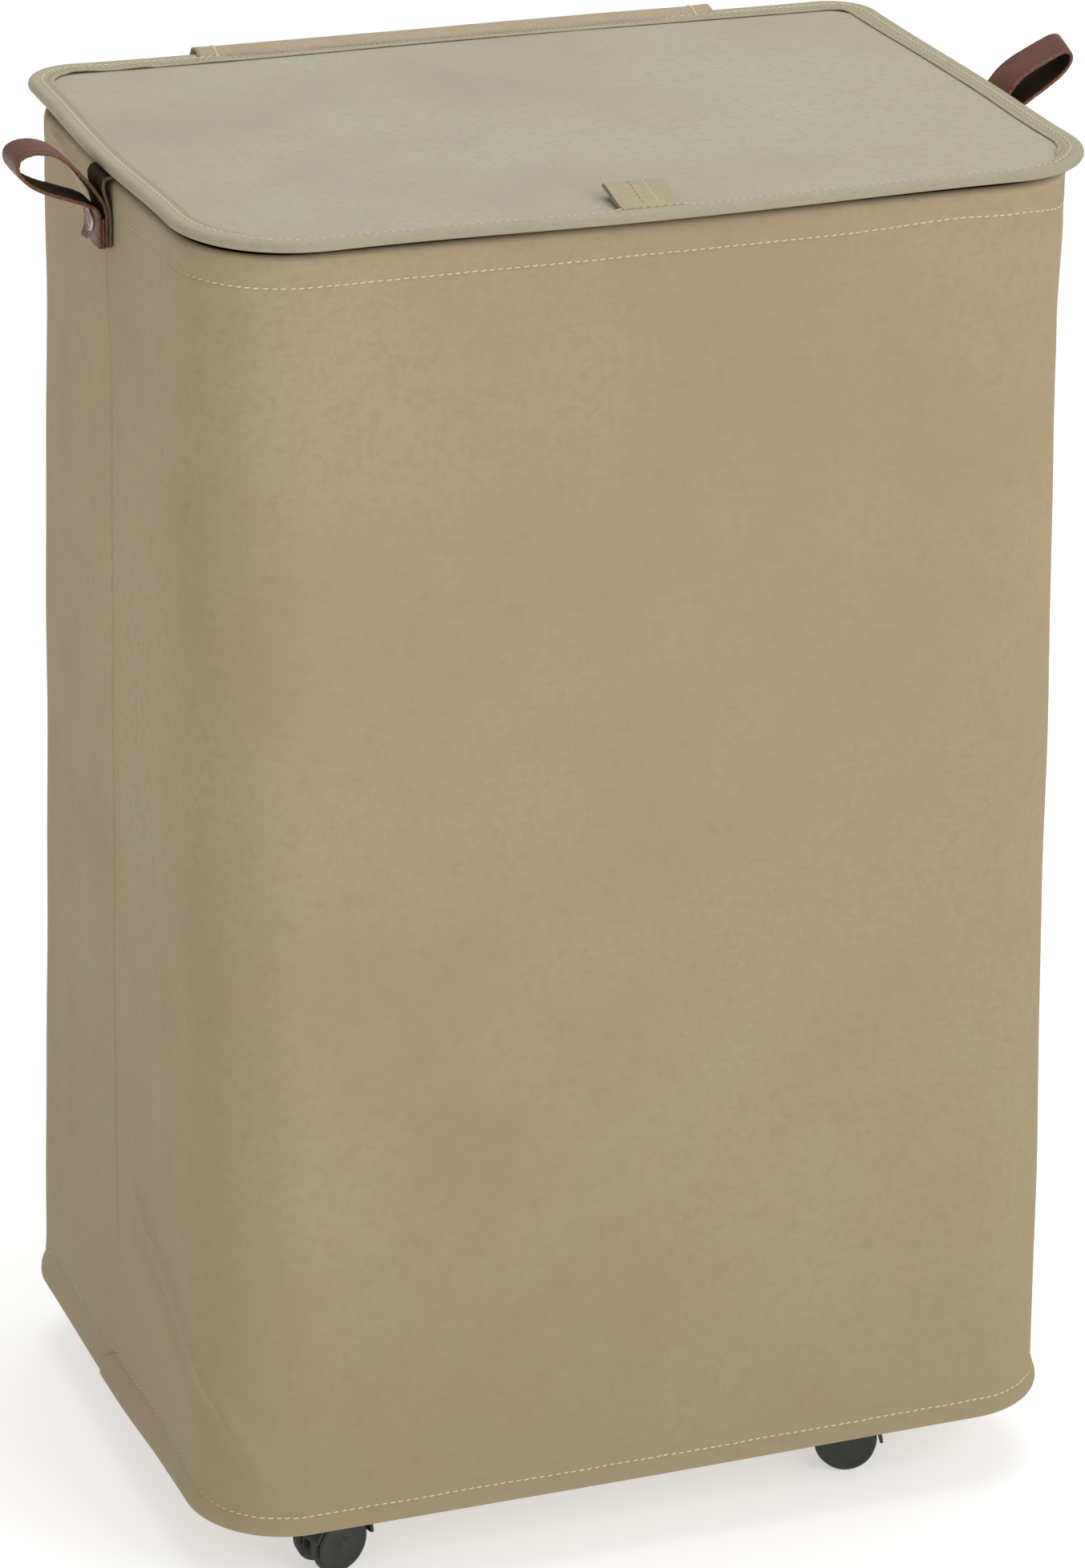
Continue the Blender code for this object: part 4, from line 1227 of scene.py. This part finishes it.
def wheel_profile(radius):
    """A wheel from its outer face to its inner one: dished disc, rolled rim, rounded tread."""
    inner, outer = WHEEL_INNER, WHEEL_OUTER
    tread = [(radius * math.cos(a), (inner + outer) / 2 + (outer - inner) * 0.36 * math.sin(a))
             for a in np.linspace(0.55, -0.55, 7)]
    crown = max(r for r, _ in tread)
    tread = [(r * radius / crown, h) for r, h in tread]
    dish = [
        (0, outer - 0.0004), (0.0026, outer - 0.0004), (0.0030, outer - 0.0008), (0.0034, outer - 0.0010),
        (0.0122, outer - 0.0007), (0.0128, outer - 0.0004), (0.0134, outer), (0.0142, outer - 0.0001),
        (0.0152, outer - 0.0007),
    ]
    bore = 0.0021
    back = [(0.0152, inner + 0.0006), (0.0144, inner), (0.0060, inner), (bore, inner), (bore, inner + 0.0040),
            (0, inner + 0.0040)]
    return dish + tread + back


def casters():
    """Each caster's hood, and its two wheels on the axle that trails behind the swivel."""
    hood_mesh = None
    for name in CASTERS:
        stem_low, stem_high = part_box("caster_stem_" + name)
        swivel = (stem_low + stem_high) / 2
        axle_low, axle_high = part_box("axle_" + name)
        axle = (axle_low + axle_high) / 2
        trail = Vector((axle.x - swivel.x, axle.y - swivel.y, 0))
        turn = math.atan2(-trail.y, -trail.x)
        placed = Matrix.Translation((swivel.x, swivel.y, 0)) @ Matrix.Rotation(turn, 4, "Z")
        if hood_mesh is None:
            hood_mesh = build_hood(trail.length, axle.z)
        hood = add_object("caster_hood_" + name, hood_mesh.copy())
        hood.data.transform(placed)
        attach(hood, "caster_" + name, "hood_plastic", "hood_" + name)
        for label, side in (("_a", -1), ("_b", 1)):
            node = "wheel_" + name + label
            hub = placed @ Matrix.Translation((-trail.length, 0, axle.z))
            hub = hub @ Matrix.Rotation(-side * math.pi / 2, 4, "X")
            piece = turned("twin_" + node, wheel_profile(axle.z), 72, hub, WHEEL)
            attach(piece, node, "wheel_plastic", node)


def swept_bar(name, outline, half):
    """An outline of (x, z) points carried along Y, a little way to each side."""
    outline = np.asarray(outline, float)
    count = len(outline)
    rows = [np.column_stack([outline[:, 0], np.full(count, y), outline[:, 1]]) for y in (-half, half)]
    faces = grid_faces(len(rows), count, close_columns=True).tolist()
    faces += [list(range(count)), list(range(count, 2 * count))[::-1]]
    return mesh_piece(name, np.stack(rows), faces, HOOD, outward=True)


def build_hood(trail, axle_z):
    """The hood's mesh about its own swivel axis, with the wheels trailing towards -X."""
    axle = (-trail, axle_z)
    outer, inner, web_r, hub_r = 0.0190, 0.0174, 0.0182, 0.004
    # The shell over the wheels, pointed at its rear end
    rear_end = arc(axle, (outer + inner) / 2, 162, 162, 0)
    fender = np.vstack([arc(axle, outer, 2, 160, 48), rear_end, arc(axle, inner, 160, 2, 48)])
    shell = swept_bar("hood_shell", fender, 0.0120)
    # The plate between the wheels, from the axle up to the stem's socket
    web = np.vstack([
        arc(axle, web_r, 8, 40, 8), [(0.0063, 0.0330), (0.0063, 0.0375), (-0.0063, 0.0375)],
        arc(axle, web_r, 80, 155, 16), arc(axle, hub_r, 180, 340, 12),
    ])
    plate = swept_bar("hood_web", web, 0.0019)
    socket = [
        (0, 0.0340), (0.0078, 0.0340), (0.0074, 0.0370), (0.0070, 0.0395), (0.0070, 0.0444), (0.0065, 0.0449),
        (0, 0.0449),
    ]
    boss = turned("hood_boss", socket, 48, Matrix.Identity(4), HOOD)
    for other in (plate, boss):
        step = shell.modifiers.new("join", "BOOLEAN")
        step.operation, step.object = "UNION", other
    soften = shell.modifiers.new("edges", "BEVEL")
    soften.width, soften.segments, soften.angle_limit = 0.0004, 3, math.radians(40)
    bpy.context.view_layer.update()
    apply_modifiers(shell)
    mesh = shell.data
    mesh.shade_smooth()
    mesh.set_sharp_from_angle(angle=math.radians(40))
    for helper in (plate, boss, shell):
        bpy.data.objects.remove(helper)
    return mesh


# ---------------- CAD nodes that show as they are


def carried_over():
    """Metal and board that keep their CAD shape get a fine bevel and their own material."""
    plain = {"base_board": BOARD}
    for name in CASTERS:
        plain.update({prefix + name: STEEL for prefix in ("caster_stem_", "caster_nut_", "axle_")})
    for name, finish in plain.items():
        node = frame["nodes"][name]
        node.data.materials.clear()
        node.data.materials.append(finish)
        soften = node.modifiers.new("edges", "BEVEL")
        soften.width, soften.segments = 0.0002, 2
        soften.limit_method, soften.angle_limit = "ANGLE", math.radians(50)


# ---------------- floor, light and camera


def stage():
    """A wide pale floor, even light from all round and two large soft lights."""
    half = 40.0
    points = [(-half, -half, 0), (half, -half, 0), (half, half, 0), (-half, half, 0)]
    floor = mesh_piece("floor", points, [(0, 1, 2, 3)], pale_floor(), smooth=False)
    world = bpy.data.worlds.new("soft_studio")
    world.use_nodes = True
    background = world.node_tree.nodes["Background"]
    background.inputs["Color"].default_value = (1.0, 1.0, 1.0, 1)
    background.inputs["Strength"].default_value = 0.55
    bpy.context.scene.world = world
    area_light("key", (1.6, -3.4, 2.6), size=2.4, power=62.0)
    area_light("top", (0.2, 0.3, 3.4), size=2.6, power=42.0)


def area_light(name, at, size, power):
    """A round light of this diameter that faces the hamper's middle."""
    data = bpy.data.lights.new(name, "AREA")
    data.shape, data.size, data.energy = "DISK", size, power
    light = add_object(name, data)
    light.location = at
    middle = Vector((0, 0, 0.36))
    light.rotation_euler = (middle - Vector(at)).to_track_quat("-Z", "Y").to_euler()


def camera():
    """Looks down on the front and the left side from 3 m away, as the product is shown."""
    azimuth, elevation, roll = (math.radians(a) for a in (-21.266, 22.800, 0.991))
    aim, distance = Vector((0, 0, 0.375)), 2.9814
    across, raised = 0.00106, -0.02052
    back = Vector((
        math.sin(azimuth) * math.cos(elevation), -math.cos(azimuth) * math.cos(elevation), math.sin(elevation)
    ))
    right = (-back).cross(Vector((0, 0, 1))).normalized()
    up = right.cross(-back)
    x_axis = right * math.cos(roll) + up * math.sin(roll)
    y_axis = up * math.cos(roll) - right * math.sin(roll)
    data = bpy.data.cameras.new("camera")
    data.lens, data.sensor_width = 134.06, 36.0
    data.clip_end = 200.0
    eye = add_object("camera", data)
    turn = Matrix((x_axis, y_axis, back)).transposed().to_4x4()
    eye.matrix_world = Matrix.Translation(aim + back * distance + x_axis * across + y_axis * raised) @ turn
    bpy.context.scene.camera = eye


camera()
stage()
cloth_body()
seam_tapes()
rod_sleeves()
base_cloth()
lid_cloth()
lid_binding()
ring_wires()
hinge_tapes()
pull_tab()
handles()
casters()
carried_over()
bpy.context.scene.view_settings.view_transform = "Standard"
